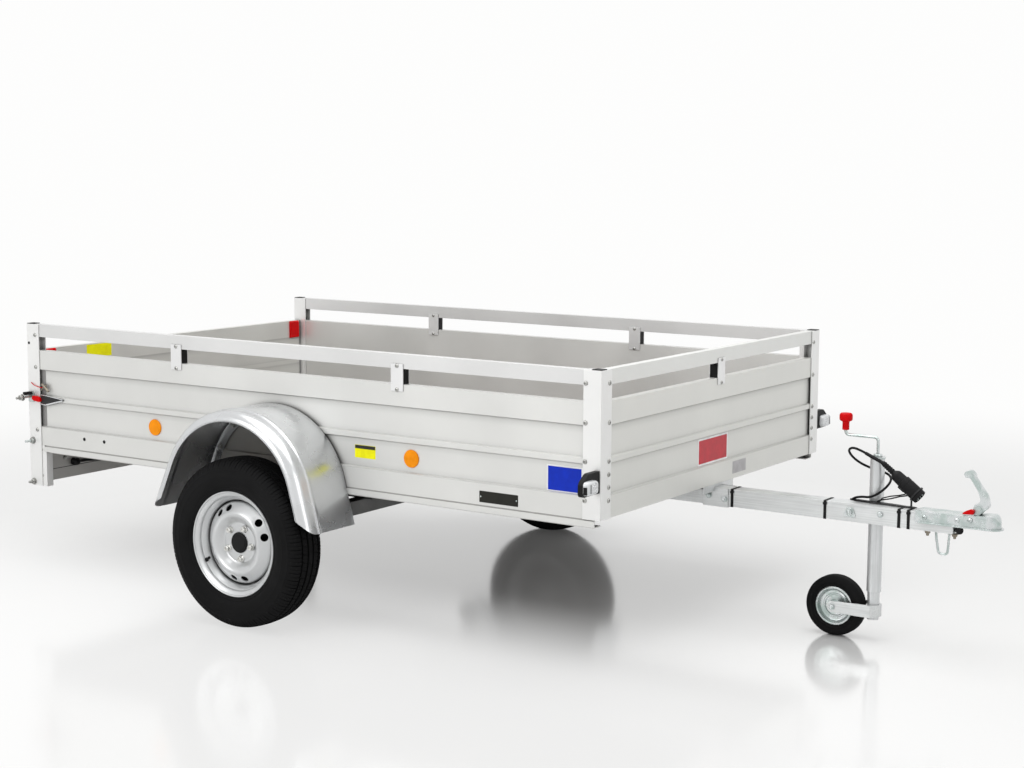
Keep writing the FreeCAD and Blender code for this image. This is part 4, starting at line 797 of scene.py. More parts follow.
def make_disc(side, hand):
    """The pressed disc as a thin shell, with its vents cut through."""
    points = []
    for layer in (0, 1):
        for radius in DISC_RINGS:
            for i in range(DISC_STEPS):
                angle = math.tau * i / DISC_STEPS
                points.append(wheel_spot(side, radius, angle, disc_height(radius, angle) - DISC_THICK * layer))
    shape = Shape("wheel_paint")
    shape.faces(points, shell(len(DISC_RINGS), DISC_STEPS, around=True))
    disc = shape.done("disc_blank_" + hand, body="wheel_" + hand, smooth=40)
    cutter = Shape("wheel_paint")
    for vent in VENTS:
        turn = math.radians(vent)
        centre = wheel_spot(side, 112.0, turn, 22.5)
        away = Vector(wheel_spot(side, 125.0, turn, 38.0)) - Vector(centre)
        cutter.lathe([(13.6, 0), (13.6, 36)], centre, away, 32)
    tool = cutter.done("vent_tool_" + hand, body="wheel_" + hand)
    hole = disc.modifiers.new("vents", "BOOLEAN")
    hole.operation = "DIFFERENCE"
    hole.solver = "EXACT"
    hole.object = tool
    bpy.context.view_layer.update()
    mesh = bpy.data.meshes.new_from_object(disc.evaluated_get(bpy.context.evaluated_depsgraph_get()))
    bpy.data.objects.remove(tool)
    bpy.data.objects.remove(disc)
    return mesh


def make_wheel(side, hand):
    body = "wheel_" + hand
    centre = (AXLE_X, side * WHEEL_Y, AXLE_Z)
    axis = (0, side, 0)
    shape = Shape("wheel_paint")
    shape.lathe(mirrored(FLANGE) + RIM_OUTSIDE + FLANGE + RIM_INSIDE, centre, axis, 128, closed=True)
    hub = [(17.55, -77), (40, -77), (41.5, -75), (41.5, 8), (66, 11), (67, 13), (67, 21.5), (17.55, 21.5)]
    shape.lathe(hub, centre, axis, 48, closed=True)
    # Painted shade: a black disc behind the pressed disc, so the vents show dark as in the wheel's shade.
    vent_shade_disc = [(41.6, -6), (144, -6), (145.6, -7.5), (145.6, -12), (41.6, -12)]
    shape.use("black_steel").lathe(vent_shade_disc, centre, axis, 96, closed=True)
    shape.mesh.from_mesh(make_disc(side, hand))
    wheel = shape.done("steel_wheel_" + hand, body, smooth=32)
    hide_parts("wheel_rim_" + hand)
    bolts = Shape("bright_bolt")
    for stud in STUDS:
        place = wheel_spot(side, STUD_CIRCLE, stud, 29.4)
        bolts.lathe([(12.4, 0), (12.4, 1.5), (10.4, 4.6), (10.4, 5)], place, axis, 24)
        head = [(9.8, 4), (9.8, 12.5), (8.6, 14.2), (5.6, 14.8), (4.8, 12.6)]
        bolts.lathe(head, place, axis, 6, turn=stud)
    bolts.done("wheel_bolts_" + hand, body, bevel=0.4)
    cap = Shape("black_plastic")
    cap.lathe([
        (33.1, 22.4), (33.1, 29.4), (35.0, 30.0), (35.2, 31.2), (33.4, 33.4), (29.5, 35.0), (28.6, 34.2),
        (27.6, 34.2), (26.8, 35.2), (18, 36.2), (8, 36.6), (0, 36.7),
    ], centre, axis, 64)
    made = cap.done("centre_cap_" + hand, body, smooth=32)
    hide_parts("hub_cap_" + hand)
    stem = Shape("cable")
    start = wheel_spot(side, 161, VALVE_TURN, 40)
    along = Vector(wheel_spot(side, 137, VALVE_TURN, 51)) - Vector(start)
    stem.lathe([
        (8.0, -3), (8.2, 2), (5.6, 5), (4.4, 16), (4.2, 20), (5.1, 20.4), (5.1, 28), (4.4, 29.2),
    ], start, along, 20)
    stem.done("valve_" + hand, body, smooth=35)


for side, hand in HANDS:
    make_tyre(side, hand)
    make_wheel(side, hand)


# Mudguards

# For the front and the rear end: the turn from upright where the skirt begins, and the height where it ends.
GUARD_ENDS = {1: (math.radians(74), 361), -1: (math.radians(66), 373)}
GUARD_R = 315
GUARD_THICK = 2.0
GUARD_EDGE = 1052
GUARD_CORNER = 58
GUARD_BOLT_R = 297
BEND_R = 280.6
BEND_Y = 1010.5
BEND_WIDE = 40


def guard_line():
    """Outside of the guard's section as (radius, out from the middle): flange, barrel with beads, rolled shoulder."""
    flat = [(281, 797), (300, 797), (311, 797.3), (314, 799), (315, 802.5)]
    flat += [(GUARD_R, out) for out in (820, 860, 905, 950, 968)]
    bead = [(315.4, 975), (317.6, 979), (318, 983), (317.4, 987), (315.6, 990.5), (315.2, 996), (314.6, 1003)]
    bend = []
    for i in range(1, 13):
        angle = math.radians(90 - 7.6 * i)
        bend.append((BEND_R + 34 * math.sin(angle), BEND_Y + BEND_WIDE * math.cos(angle)))
    return flat + bead + bend + [(283.5, 1051.2), (281.6, 1051.6), (280.4, 1050.4), (BEND_R, 1048.8)]


def guard_path():
    """Stations from the rear foot over the arch to the front foot: (end, turn from upright, share of the skirt)."""
    rear, front = GUARD_ENDS[-1][0], GUARD_ENDS[1][0]
    steps = [(-1, rear, math.cos(math.pi * i / 56)) for i in range(28)]
    for i in range(71):
        turn = -rear + (rear + front) * i / 70
        steps.append((1 if turn > 0 else -1, abs(turn), 0.0))
    return steps + [(1, front, math.sin(math.pi * (i + 1) / 56)) for i in range(28)]


def guard_height(station, radius):
    """How high a place of this radius lies at a station, and how far down its skirt it is."""
    end, turn, share = station
    drop = share * (GUARD_Z + radius * math.cos(turn) - GUARD_ENDS[end][1]) / math.sin(turn) if share else 0.0
    return GUARD_Z + radius * math.cos(turn) - drop * math.sin(turn), drop


def guard_spot(side, station, radius, out):
    """On the arch, or down a straight skirt that leaves it at a tangent; the lower outer corners are cut round."""
    end, turn, share = station
    above = guard_height(station, radius)[0] - GUARD_ENDS[end][1]
    if above < GUARD_CORNER:
        round_in = math.sqrt(max(GUARD_CORNER * GUARD_CORNER - (GUARD_CORNER - above) ** 2, 0))
        reach = GUARD_EDGE - GUARD_CORNER + round_in
        if out > reach:
            out = reach
            slope = min(max((reach - BEND_Y) / BEND_WIDE, 0.0), 1.0)
            radius = min(GUARD_R, BEND_R + 34.4 * math.sqrt(1 - slope * slope))
    z, drop = guard_height(station, radius)
    x = GUARD_X + end * (radius * math.sin(turn) + drop * math.cos(turn))
    return (x, side * out, z)


def make_mudguard(side, hand):
    line = guard_line()
    inner = []
    for k, (radius, out) in enumerate(line):
        before = line[max(k - 1, 0)]
        after = line[min(k + 1, len(line) - 1)]
        dr, do = after[0] - before[0], after[1] - before[1]
        size = math.hypot(dr, do)
        inner.append((radius - GUARD_THICK * do / size, out + GUARD_THICK * dr / size))
    path = guard_path()
    points = [guard_spot(side, station, *mark) for layer in (line, inner) for station in path for mark in layer]
    shape = Shape("guard")
    shape.faces(points, shell(len(path), len(line)))
    guard = shape.done("guard_" + hand, smooth=28)
    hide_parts("mudguard_" + hand)


def make_guard_bolts():
    """Bolts through each guard's inner flange into the side of the box, and the rubber buffer under its front foot."""
    shape = Shape("bolt")
    pad = Shape("black_plastic")
    for side in BOTH:
        for turn in (-62, -42, -20, 22, 48, 68):
            angle = math.radians(turn)
            x, z = GUARD_X + GUARD_BOLT_R * math.sin(angle), GUARD_Z + GUARD_BOLT_R * math.cos(angle)
            hex_bolt(shape, (x, side * 799, z), (0, side, 0), 8, 6, 2.0, 3)
        pad.lathe([(7, 0.3), (8, 4), (8, 9), (6, 12)], (270, side * 972, 373), (-1, 0, 0), 16)
    shape.done("guard_bolts")
    pad.done("guard_buffers")


for side, hand in HANDS:
    make_mudguard(side, hand)
make_guard_bolts()


# Fasteners on the box


def make_post_screws():
    """Pan heads through the post flanges into each wall and rail, and on the rear legs."""
    shape = Shape("bolt")
    for sy in BOTH:
        for z in (911, 788, 667, 545):
            for x in (1229, -1241):
                screw(shape, (x, sy * BOX_Y, z), (0, sy, 0))
        for z in (911, 788, 667, 625, 585, 543):
            screw(shape, (BOX_X, sy * 750, z), (1, 0, 0))
        for z in (470, 368):
            screw(shape, (-1222, sy * (BOX_Y - 3), z), (0, sy, 0), 6, 3)
    shape.done("post_screws")


def make_rail_screws():
    shape = Shape("bolt")
    for z in (914, 835):
        for x in (-500, 500):
            for sy in BOTH:
                screw(shape, (x, sy * BOX_Y, z), (0, sy, 0), 7.5, 3.4)
                screw(shape, (x, sy * (SKIN - WALL - 3.3), z), (0, -sy, 0), 6.5, 3.2)
        screw(shape, (BOX_X, 0, z), (1, 0, 0), 6.5, 3.2)
        screw(shape, (SKIN_FRONT - 32.7, 0, z), (-1, 0, 0), 6.5, 3.2)
    shape.done("rail_screws")


make_post_screws()
make_rail_screws()


# Labels and plates, all blank


def label(shape, paint, x, z, y, high=0.35, corner=2.0):
    """A thin rounded sheet on the right wall: x and z are its edges, y the face it lies on."""
    outline = []
    for cx, cz, start in (
        (x[1] - corner, z[1] - corner, 0), (x[0] + corner, z[1] - corner, 90),
        (x[0] + corner, z[0] + corner, 180), (x[1] - corner, z[0] + corner, 270),
    ):
        for k in range(4):
            angle = math.radians(start + 30 * k)
            outline.append((cx + corner * math.cos(angle), cz + corner * math.sin(angle)))
    shape.use(paint).slab(outline, -1, y, y + high)


def label_front(shape, paint, y, z, x, high=0.35):
    """A thin sheet on the front wall or the tailgate; y and z are its edges, x the face it lies on."""
    shape.use(paint).prism([(y[0], z[0]), (y[1], z[0]), (y[1], z[1]), (y[0], z[1])], "x", x, x + high)


def make_labels():
    dip = SKIN - GROOVE
    shape = Shape()
    label(shape, "label_yellow", (314, 402), (590, 634), dip)
    label(shape, "label_black", (315, 401), (621, 633), dip + 0.3, 0.15, 1)
    label(shape, "label_white", (1083, 1216), (559, 645), dip)
    label(shape, "label_blue", (1088, 1211), (564, 640), dip + 0.3, 0.15, 1)
    shape.done("side_labels")
    plate = Shape()
    label(plate, "type_plate", (831, 980), (496, 533), SKIN, 1.0)
    plate.use("zinc")
    for x in (836.5, 974.5):
        plate.lathe([(2.6, -0.2), (2.4, 0.8), (1.4, 1.4), (0, 1.6)], (x, -SKIN - 1, 514.5), (0, -1, 0), 14)
    plate.done("blank_plate")
    front = Shape()
    face = SKIN_FRONT - GROOVE
    label_front(front, "label_white", (-144, 73), (562, 654), face)
    label_front(front, "label_red", (-138, 67), (568, 648), face + 0.3, 0.15)
    label_front(front, "label_grey", (102, 204), (503, 546), SKIN_FRONT)
    front.done("front_labels")
    gate = Shape()
    label_front(gate, "label_yellow", (-528, -396), (797, 849), -(SKIN_FRONT - WALL))
    gate.done("gate_label", body="tailgate")


make_labels()


# Small trim on the walls


def make_sill_ledges():
    """The sill's face stands a little proud under each side wall, with a grey strip of painted shade in the seam above
    it.
    """
    ledge = Shape("wall_side")
    seam_shade = Shape("joint_grey")
    for sy in BOTH:
        outline = [(sy * 796, 463.5), (sy * 801.2, 463.5), (sy * 801.2, 482.6), (sy * 796, 482.6)]
        ledge.prism(outline[::sy], "x", -1206, 1264)
        seam_shade.box((-1206, 1264), sorted((sy * 796.0, sy * 797.0)), (482.6, 486.6))
    ledge.done("sill_ledges")
    seam_shade.done("sill_seam_shade")


def make_bore_shade():
    """Bores in the lower band, shown as short sunk black cups in the wall's face: painted shade inside them."""
    shape = Shape("black_plastic")
    cup = [(5.5, -0.5), (6.8, 0.5), (6.2, 1.1), (5.2, 0.5), (0, 0.3)]
    for x in (-987, -881):
        for sy in BOTH:
            shape.lathe(cup, (x, sy * SKIN, 530), (0, sy, 0), 20)
    shape.done("bore_shade_cups")


def make_reflectors():
    shape = Shape("orange")
    dome = [(29.8, 0), (30, 2.5), (29.4, 4.2), (27.6, 5.2), (26.4, 4.6), (25.6, 4.8), (20, 5.5), (10, 6.0), (0, 6.2)]
    for x in (-620, 553):
        for sy in BOTH:
            shape.lathe(dome, (x, sy * (SKIN - GROOVE), 608), (0, sy, 0), 72)
    made = shape.done("round_reflectors", smooth=25)
    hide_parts("reflectors")


make_sill_ledges()
make_bore_shade()
make_reflectors()


# Lamps

MARKER_HOLDER = [
    (800.3, 573.5), (889, 573.5), (896, 577), (899, 584), (899, 612), (893, 621), (866, 640.5), (859, 643),
    (800.3, 643),
]
LENS_LEVELS = ((1282, 0.0), (1291, 0.6), (1295.5, 2.2), (1298.5, 5.0), (1300.2, 9.5))
LENS_STEPS = 32
LENS_MID = (863, 600)
LENS_HALF = (34.5, 22.5)
REAR_LAMP_Y = 610
REAR_LAMP_WIDE = 230


def make_marker_lamps():
    """Each front post's lamp: a black holder that stands out sideways, with a domed lens on its outer part."""
    lamps = Shape()
    ring = Shape("chrome")
    dark = Shape("black_plastic")
    for sy in BOTH:
        lamps.use("black_plastic").prism([(sy * y, z) for y, z in MARKER_HOLDER[::sy]], "x", 1264, 1282)
        points = []
        for x, shrink in LENS_LEVELS:
            for k in range(LENS_STEPS):
                turn = math.tau * k / LENS_STEPS
                c, s = math.cos(turn), math.sin(turn)
                y = LENS_MID[0] + (LENS_HALF[0] - shrink) * math.copysign(abs(c) ** 0.42, c)
                z = LENS_MID[1] + (LENS_HALF[1] - shrink * 0.8) * math.copysign(abs(s) ** 0.42, s)
                points.append((x, sy * y, z))
        ends = [tuple(range(LENS_STEPS))[::-1], tuple(range(len(points) - LENS_STEPS, len(points)))]
        faces = bands(len(LENS_LEVELS), LENS_STEPS) + ends
        lamps.use("clear").faces(points, [face[::sy] for face in faces])
        place = (1300.2, sy * 853, 601)
        ring.lathe([(11.2, 0.1), (12.0, 0.7), (14.2, 0.7), (15.0, 0.1)], place, (1, 0, 0), 40, closed=True)
        ring.lathe([(4.4, 0.1), (4.0, 0.8), (0, 1.1)], place, (1, 0, 0), 24)
        dark.box((1284, 1296), sorted((sy * 894.5, sy * 898.2)), (583, 607))
        for y in (876, 881):
            dark.box((1300.0, 1300.7), sorted((sy * y, sy * (y + 1.5))), (586, 614))
    made = lamps.done("marker_lamps", smooth=32, bevel=0.6)
    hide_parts("front_lamp_bases", "front_lamp_lenses")
    ring.done("marker_rings")
    dark.done("marker_ribs")


def make_rear_lamps():
    """Lamp bodies on the bar: red, amber and white windows in a black frame."""
    low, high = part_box("rear_lamps")
    back = low.x * 1000 - SHIFT
    front = high.x * 1000 - SHIFT
    z0, z1 = low.z * 1000, high.z * 1000
    window = [
        (back + 8, z0 + 4), (back + 2.5, z0 + 5), (back, z0 + 10), (back, z1 - 10), (back + 2.5, z1 - 5),
        (back + 8, z1 - 4),
    ]
    white = [
        (back + 7, z0 + 6), (back + 0.3, z0 + 9), (back - 0.2, z0 + 12), (back - 0.2, z0 + 36), (back + 7, z0 + 38),
    ]
    shape = Shape()
    for sy in BOTH:
        y0 = sy * REAR_LAMP_Y - REAR_LAMP_WIDE / 2
        shape.use("black_plastic").box((back + 8, front), (y0, y0 + REAR_LAMP_WIDE), (z0, z1))
        for a, b, paint in ((4, 78, "red_lens"), (80, 150, "orange"), (152, 226, "red_lens")):
            if sy < 0:
                a, b = REAR_LAMP_WIDE - b, REAR_LAMP_WIDE - a
            shape.use(paint).prism(window, "y", y0 + a, y0 + b)
        start = y0 + (152 if sy > 0 else 4)
        shape.use("clear").prism(white, "y", start + 4, start + 70)
    made = shape.done("rear_light_bodies", bevel=1.2)
    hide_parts("rear_lamps")


make_marker_lamps()
make_rear_lamps()


# Tailgate latches and corner pads

LATCH_X = -1267
LATCH_Z = 673
LOOM_R = 5.5


def make_latches():
    """Spring bolt with nut, red grip and a long flat hook on each rear post."""
    shape = Shape()
    hook = Shape()
    for sy in BOTH:
        bolt = (LATCH_X, sy * BOX_Y, LATCH_Z)
        axis = (0, sy, 0)
        shape.use("bolt").lathe([(5, 0.3), (5, 76), (4, 77)], bolt, axis, 16)
        shape.lathe([(10, 50), (11, 51.5), (11, 60), (10, 61)], bolt, axis, 6)
        shape.lathe([(13.5, 45), (13.5, 48)], bolt, axis, 24)
        shape.use("zinc").slab([(-1282, 653), (-1254, 653), (-1254, 690), (-1282, 690)], sy, 800.3, 804.3)
        shape.use("black_plastic").slab([(-1277, 680), (-1262, 680), (-1262, 692), (-1277, 692)], sy, 804.3, 836)
        grip = [(-1256, 666), (-1250, 660), (-1218, 655), (-1211, 659), (-1213, 669), (-1222, 675), (-1252, 677)]
        shape.use("red").slab(grip, sy, 801.5, 812)
        flat = [(-1216, 648), (-1190, 645), (-1098, 667), (-1090, 670), (-1098, 672), (-1190, 680), (-1216, 678)]
        hook.use("black_steel").slab(flat, sy, 797.2, 800.4)
        for paint, radius, sides, line in (
            ("chrome", 3.0, 8, ((-1214, 801.5, 648), (-1190, 801.5, 645), (-1096, 801.5, 668))),
            ("chrome", 1.6, 8, ((-1214, 801, 682), (-1188, 801, 681), (-1096, 801, 672))),
            ("red", 1.4, 8, ((-1268, 801.5, 727), (-1250, 804, 718), (-1222, 803, 711), (-1196, 801.5, 712))),
            ("old_brass", 5.2, 10, ((-1206, 802, 724), (-1188, 802, 712), (-1172, 802, 698))),
            ("old_brass", 2.8, 8, ((-1212, 802, 700), (-1194, 802, 716), (-1180, 802, 722))),
        ):
            hook.use(paint).tube([(x, sy * y, z) for x, y, z in line], radius, sides)
        # Painted shadow: dark grey sheets in the wall's recesses beside each rear post, where the post throws its
        # shade.
        for low, high in ((560, 657), (679, 777)):
            strip = [(-1243, low), (-1202, low), (-1197, low + 5), (-1197, high - 5), (-1202, high), (-1243, high)]
            hook.use("wall_end").slab(strip, sy, SKIN - GROOVE, SKIN - 6.4)
    made = shape.done("latch_bolts", bevel=0.8)
    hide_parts("tailgate_latches")
    hook.done("latch_hooks", bevel=0.4)


def make_rear_bolts():
    """Nut rings on the tailgate's pins, the rear leg bolts, black discs of painted shade in the post holes, and the
    loom on the lamp bar.
    """
    low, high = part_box("gate_pins")
    pin = (low.x + high.x) * 500 - SHIFT
    level = (low.z + high.z) * 500
    shape = Shape("bolt")
    dark = Shape("black_plastic")
    boot = [(9, 0), (13.5, 4), (14.5, 9), (14.5, 20), (12, 26), (9, 29), (6, 34)]
    for sy in BOTH:
        axis = (0, sy, 0)
        shape.lathe([(13.5, 0.3), (13.5, 2.6)], (pin, sy * BOX_Y, level), axis, 24)
        shape.lathe([(10.5, 2.6), (10.5, 10), (9, 11.2)], (pin, sy * BOX_Y, level), axis, 6)
        hex_bolt(shape, (-1267, sy * BOX_Y, 341), axis, 9, 8, 2.2, 16)
        hex_bolt(shape, (-1209.8, sy * 694, 425), (1, 0, 0), 6, 4.5, 1.4, 3)
        # Painted shade: a black disc in each post hole.
        dark.lathe([(5.2, 0.1), (5.6, 0.4), (0, 0.5)], (-1275, sy * BOX_Y, 879), axis, 20)
        dark.lathe(boot, (-1196, sy * 664, 404), (0, -sy, 0), 24)
        dark.lathe([(14, 0), (14, 13)], (-1209.9, sy * 652, 404), (1, 0, 0), 20)
        lead = ((-1196, 632, 404), (-1196, 600, 403), (-1197, 540, 399), (-1199, 440, 396), (-1202, 300, 396))
        dark.tube([(x, sy * y, z) for x, y, z in lead], LOOM_R)
    dark.tube([(-1202, -302, 396), (-1203.5, -150, 398), (-1203.5, 150, 398), (-1202, 302, 396)], LOOM_R)
    # Painted shade: a thin black strip along the bar's groove.
    dark.box((-1209.9, -1209.4), (-768, 768), (387.5, 389.5))
    shape.done("rear_bolts")
    dark.done("lamp_bar_loom", smooth=35)


def make_gate_corners():
    """Red pads on the tailgate's top corners."""
    shape = Shape("red")
    for sy in BOTH:
        shape.slab([(-1252.2, 776), (-1245.5, 779), (-1245.5, 847), (-1252.2, 853)], sy, 690, 750)
    shape.done("gate_corner_pads", body="tailgate", bevel=1.0)


make_latches()
make_rear_bolts()
make_gate_corners()


# Drawbar trim

BAR_HALF = 30
BAR_LOW = 415
BAR_TOP = 475
TIE_WIDE = 10.0
TIE_THICK = 1.4


def tie(shape, x):
    """Nylon tie round the drawbar, with its head on the near upper edge."""
    far = BAR_HALF + TIE_THICK
    span = (x - TIE_WIDE / 2, x + TIE_WIDE / 2)
    for y, z in (
        ((-far, far), (BAR_TOP, BAR_TOP + TIE_THICK)), ((-far, far), (BAR_LOW - TIE_THICK, BAR_LOW)),
        ((-far, -BAR_HALF), (BAR_LOW, BAR_TOP)), ((BAR_HALF, far), (BAR_LOW, BAR_TOP)),
    ):
        shape.box(span, y, z)
    shape.box((span[0] - 1.2, span[1] + 1.2), (-BAR_HALF - 5, -BAR_HALF), (462, 470))


def make_bar_top():
    """Flat black strip on the bar top under the cable's loop, and two thin leads to the plug's holder."""
    shape = Shape("cable")
    strip = [(1752, 34), (1776, 20), (1850, 12), (1925, 14), (1941, 22), (1900, 29), (1830, 32), (1780, 37)]
    shape.prism(strip, "z", 475.3, 479.5)
    shape.tube([(1858, 26, 481), (1872, 14, 496), (1900, 10, 506), (1930, 12, 512), (1951, 15, 518)], 2.2, 8)
    shape.tube([(1850, 30, 481), (1868, 20, 489), (1900, 14, 497), (1932, 14, 508), (1958, 15, 514)], 2.2, 8)
    shape.done("bar_top_strip", smooth=40)


def make_bar_trim():
    shape = Shape("black_plastic")
    for x in (1349, 1691, 1949, 1981):
        tie(shape, x)
    shape.done("cable_ties", bevel=0.3)
    near, below = (0, -1, 0), (0, 0, -1)
    bolts = Shape("zinc")
    hex_bolt(bolts, (1885, -30, 451), near, 7.5, 5.5)
    bolts.prism([(1762, 430), (1798, 430), (1800, 437), (1790, 462), (1770, 462), (1760, 437)], "y", -33, -30)
    hex_bolt(bolts, (1780, -33, 448), near, 8.5, 6.5, 1.6, 4)
    for sy in BOTH:
        for x, z in ((2037, 460), (2144, 463), (2186, 467)):
            screw(bolts, (x, sy * 34.3, z), (0, sy, 0), 8, 4.5)
    bolts.use("old_brass")
    for x in (2043, 2133):
        hex_bolt(bolts, (x, -19, 415), below, 8.5, 7, 1.6, 8)
    bolts.use("zinc")
    for x, z in ((1262, 448), (1322, 440)):
        hex_bolt(bolts, (x, -34.4, z), near, 8, 6.5, 1.6, 4)
    for x in (1804, 1856):
        hex_bolt(bolts, (x, 37.4, 445), (0, 1, 0), 7, 5.5, 1.4, 3)
    bolts.done("bar_bolts")


make_bar_top()
make_bar_trim()


# Jockey wheel dress

POST_X = 1830
POST_Y = 70
KNOB_X = 1714
CRANK_BEND = 14
HUB = (1698, POST_Y, 103)
ACROSS = (0, 1, 0)


def make_crank():
    """Bent rod handle with a collar on the spindle."""
    shape = Shape("zinc")
    turns = [math.radians(11.25 * k) for k in range(1, 9)]
    low_x, low_z = POST_X - CRANK_BEND, 672
    high_x, high_z = KNOB_X + CRANK_BEND, 700
    line = [(POST_X, z) for z in (584, 600, 640, low_z)]
    line += [(low_x + CRANK_BEND * math.cos(t), low_z + CRANK_BEND * math.sin(t)) for t in turns]
    line += [(x, 686) for x in (1800, 1760, high_x)]
    line += [(high_x - CRANK_BEND * math.sin(t), high_z - CRANK_BEND * math.cos(t)) for t in turns]
    line += [(KNOB_X, 715), (KNOB_X, 732)]
    shape.tube([(x, POST_Y, z) for x, z in line], 5, 14)
    collar = [(5, 622.3), (14, 622.3), (14.6, 623.5), (14.6, 629), (13, 631.5), (9, 632.3), (5, 632.3)]
    shape.lathe(collar, (POST_X, POST_Y, 0), UP, 32, closed=True)
    made = shape.done("crank_rod", "jockey_post", smooth=40)
    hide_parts("jockey_crank")
    knob = Shape("red")
    knob.lathe([
        (10.8, 702), (11.6, 703), (11.6, 727), (13, 730), (19.5, 733), (21.6, 736), (22, 741), (22, 750),
        (20.6, 755), (17, 758), (9, 759),
    ], (KNOB_X, POST_Y, 0), UP, 40)
    for k in range(6):
        turn = math.radians(60 * k)
        x, y = KNOB_X + 19.4 * math.cos(turn), POST_Y + 19.4 * math.sin(turn)
        knob.tube([(x, y, z) for z in (734.5, 737, 752, 755)], 2.4)
    made = knob.done("crank_knob", "jockey_post", smooth=35)
    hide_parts("jockey_knob")


def make_jockey_wheel():
    shape = Shape("tyre")
    half = [
        (67, -21), (70, -24), (80, -27.5), (88, -29), (92, -28.2), (98, -24), (101.5, -18), (102.6, -14), (102.9, -8),
    ]
    shape.lathe(half + mirrored(half), HUB, ACROSS, 96, closed=True)
    for y in (-26.6, 26.6):
        ring = [(75.5, y - 1.2), (77.5, y - 1.2), (77.5, y + 1.2), (75.5, y + 1.2)]
        shape.lathe(ring, HUB, ACROSS, 72, closed=True)
    made = shape.done("jockey_rubber", "jockey_wheel")
    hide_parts("jockey_tyre")
    rim = Shape("zinc")
    half = [
        (6.05, 29), (15, 29), (16.4, 28), (17, 25), (18, 12), (20, 9.5), (26, 8.6), (34, 9.0), (36, 11.4), (40, 12),
        (42, 9.8), (48, 9.4), (52, 11), (56, 17), (58, 21), (60, 23.4), (63, 24), (66, 22.4), (66.7, 20),
    ]
    rim.lathe(half + mirrored(half), HUB, ACROSS, 96, closed=True)
    made = rim.done("jockey_hub", "jockey_wheel", smooth=32)
    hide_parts("jockey_rim")
    nuts = Shape("zinc")
    for sy in BOTH:
        hex_bolt(nuts, (HUB[0], POST_Y + sy * 37, HUB[2]), (0, sy, 0), 8, 5, 1.5, 3)
    nuts.done("jockey_axle_nuts", "jockey_caster")


def make_clamp_toggle():
    """The tube's end ring, and the toggle of the jockey clamp on the far side."""
    shape = Shape("zinc")
    ring = [(24.2, 617), (26, 617), (26.6, 618), (26.6, 621.6), (26, 622.2), (24.2, 622.2)]
    shape.lathe(ring, (POST_X, POST_Y, 0), UP, 40, closed=True)
    shape.done("tube_collar", "jockey_post")
    handle = Shape("zinc")
    handle.tube([(POST_X, 96, 445), (POST_X, 112, 445), (POST_X, 118, 445)], 6, 14)
    handle.tube([(POST_X, 114, 445), (1822, 115, 436), (1802, 116, 414), (1796, 116, 404)], 4, 12)
    handle.done("clamp_toggle", smooth=40)


make_crank()
make_jockey_wheel()
make_clamp_toggle()


# Coupling trim


def make_coupling_trim():
    """The lever's pin with its rings, a bolt in the head, and the red marker under the lever."""
    shape = Shape("zinc")
    shape.lathe([(7.5, 0), (7.5, 33.4), (6.5, 34.4)], (2208, -17.2, 505), ACROSS, 18)
    for y in (-15.2, 15.2):
        shape.lathe([(8, 0), (12, 0), (12, 1.6), (8, 1.6)], (2208, y - 0.8, 505), ACROSS, 24, closed=True)
    shape.done("coupling_pins")
    nut = Shape("black_plastic")
    hex_bolt(nut, (2153, -33, 431), (0, -1, 0), 9, 7)
    nut.done("coupling_bolt")
    mark = Shape("red")
    outline = [(2158, 482.4), (2192, 484.6), (2194, 497), (2182, 500), (2168, 494), (2158, 487)]
    mark.prism(outline, "y", -26, -12)
    mark.done("coupling_marker", bevel=0.8)


make_coupling_trim()


# Plug and cable

PLUG_START = Vector((1808, 15, 640))
PLUG_KNEE = Vector((1872, 15, 612))
PLUG_NOSE = Vector((2001.6, 15, 511.6))
CABLE_ROUTE = [
    (1706, 34.3, 452), (1736, 34.3, 452), (1762, 34.3, 482), (1795, 27, 491), (1828, 24, 492), (1860, 34, 512),
    (1880, 62, 540), (1868, 98, 556), (1834, 114, 566), (1796, 106, 574), (1764, 82, 592), (1744, 52, 619),
    (1744, 24, 645), (1771, 15, 656.2), (1808, 15, 640),
]


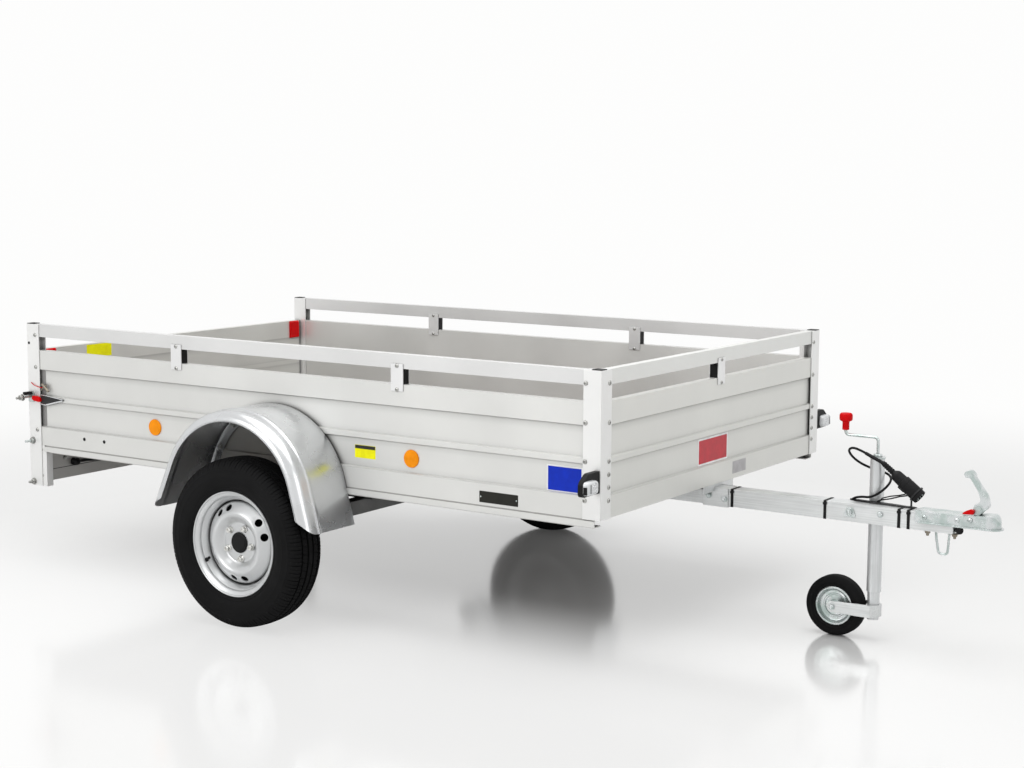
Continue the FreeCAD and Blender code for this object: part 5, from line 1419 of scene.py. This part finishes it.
def make_plug():
    """Moulded plug: tapered relief, ribbed grip, a flanged barrel and its latching lug."""
    shape = Shape("black_plastic")
    along = PLUG_NOSE - PLUG_KNEE
    run = along.length
    sleeve = PLUG_KNEE - PLUG_START
    relief = [(4.4, 0), (5.6, 3), (5.9, sleeve.length * 0.7), (6, sleeve.length + 2)]
    shape.lathe(relief, PLUG_START, sleeve, 20)
    profile = [(0, -6), (4, -5.4), (7, -2.5), (8, 0)]
    for k in range(5):
        at = 4 + 8 * k
        wide = 8.2 + 0.16 * at * 0.2
        profile += [
            (wide, at), (wide + 0.9, at + 0.5), (wide + 0.9, at + 5), (wide - 0.6, at + 5.6), (wide - 0.6, at + 7.6),
        ]
    profile += [
        (9.5, 44.5), (12, 48), (17, 54), (18.6, 57), (19.4, 62), (20.2, 84), (20.6, 87), (23.6, 89), (24, 91),
        (24, 104), (23.2, 105), (23.2, 107), (24, 108), (24, run - 3), (23, run - 0.6), (21.5, run),
        (20.6, run - 0.4), (20.4, run - 6),
    ]
    shape.lathe(profile, PLUG_KNEE, along, 48)
    unit = along.normalized()
    up = Vector(UP) - unit * unit.z
    up.normalize()

    def around(turn):
        return up * math.cos(turn) + Vector(ACROSS) * math.sin(turn)

    for k in range(3):
        side = around(math.radians(120 * k + 50))
        base = PLUG_KNEE + unit * 60 + side * 19
        shape.tube([base, base + unit * 24 + side * 0.6], 1.8, 8)
    lug = PLUG_KNEE + unit * 96 - up * 23.6
    shape.tube([lug - unit * 10, lug + unit * 14], 4, 8)
    shape.use("zinc")
    for k in range(7):
        place = PLUG_KNEE + unit * (run - 6.2) + around(math.tau * k / 7) * 12
        shape.lathe([(2, 0), (2, 4.6), (1.2, 5.2)], place, along, 10)
    made = shape.done("trailer_plug", smooth=34)
    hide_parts("plug")
    return made


def make_cable():
    """A round cable along one smooth line, from the drawbar to the plug."""
    data = bpy.data.curves.new("lamp_cable", "CURVE")
    data.dimensions = "3D"
    data.bevel_depth = 0.004
    data.bevel_resolution = 5
    data.resolution_u = 16
    data.use_fill_caps = True
    spline = data.splines.new("NURBS")
    spline.points.add(len(CABLE_ROUTE) - 1)
    for point, place in zip(spline.points, CABLE_ROUTE):
        point.co = (*spot(*place), 1)
    spline.order_u = 3
    spline.use_endpoint_u = True
    cable = put("lamp_cable", data)
    cable.data.materials.append(MATERIALS["cable"])
    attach(cable, "chassis")
    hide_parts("cable")


PLUG = make_plug()
make_cable()
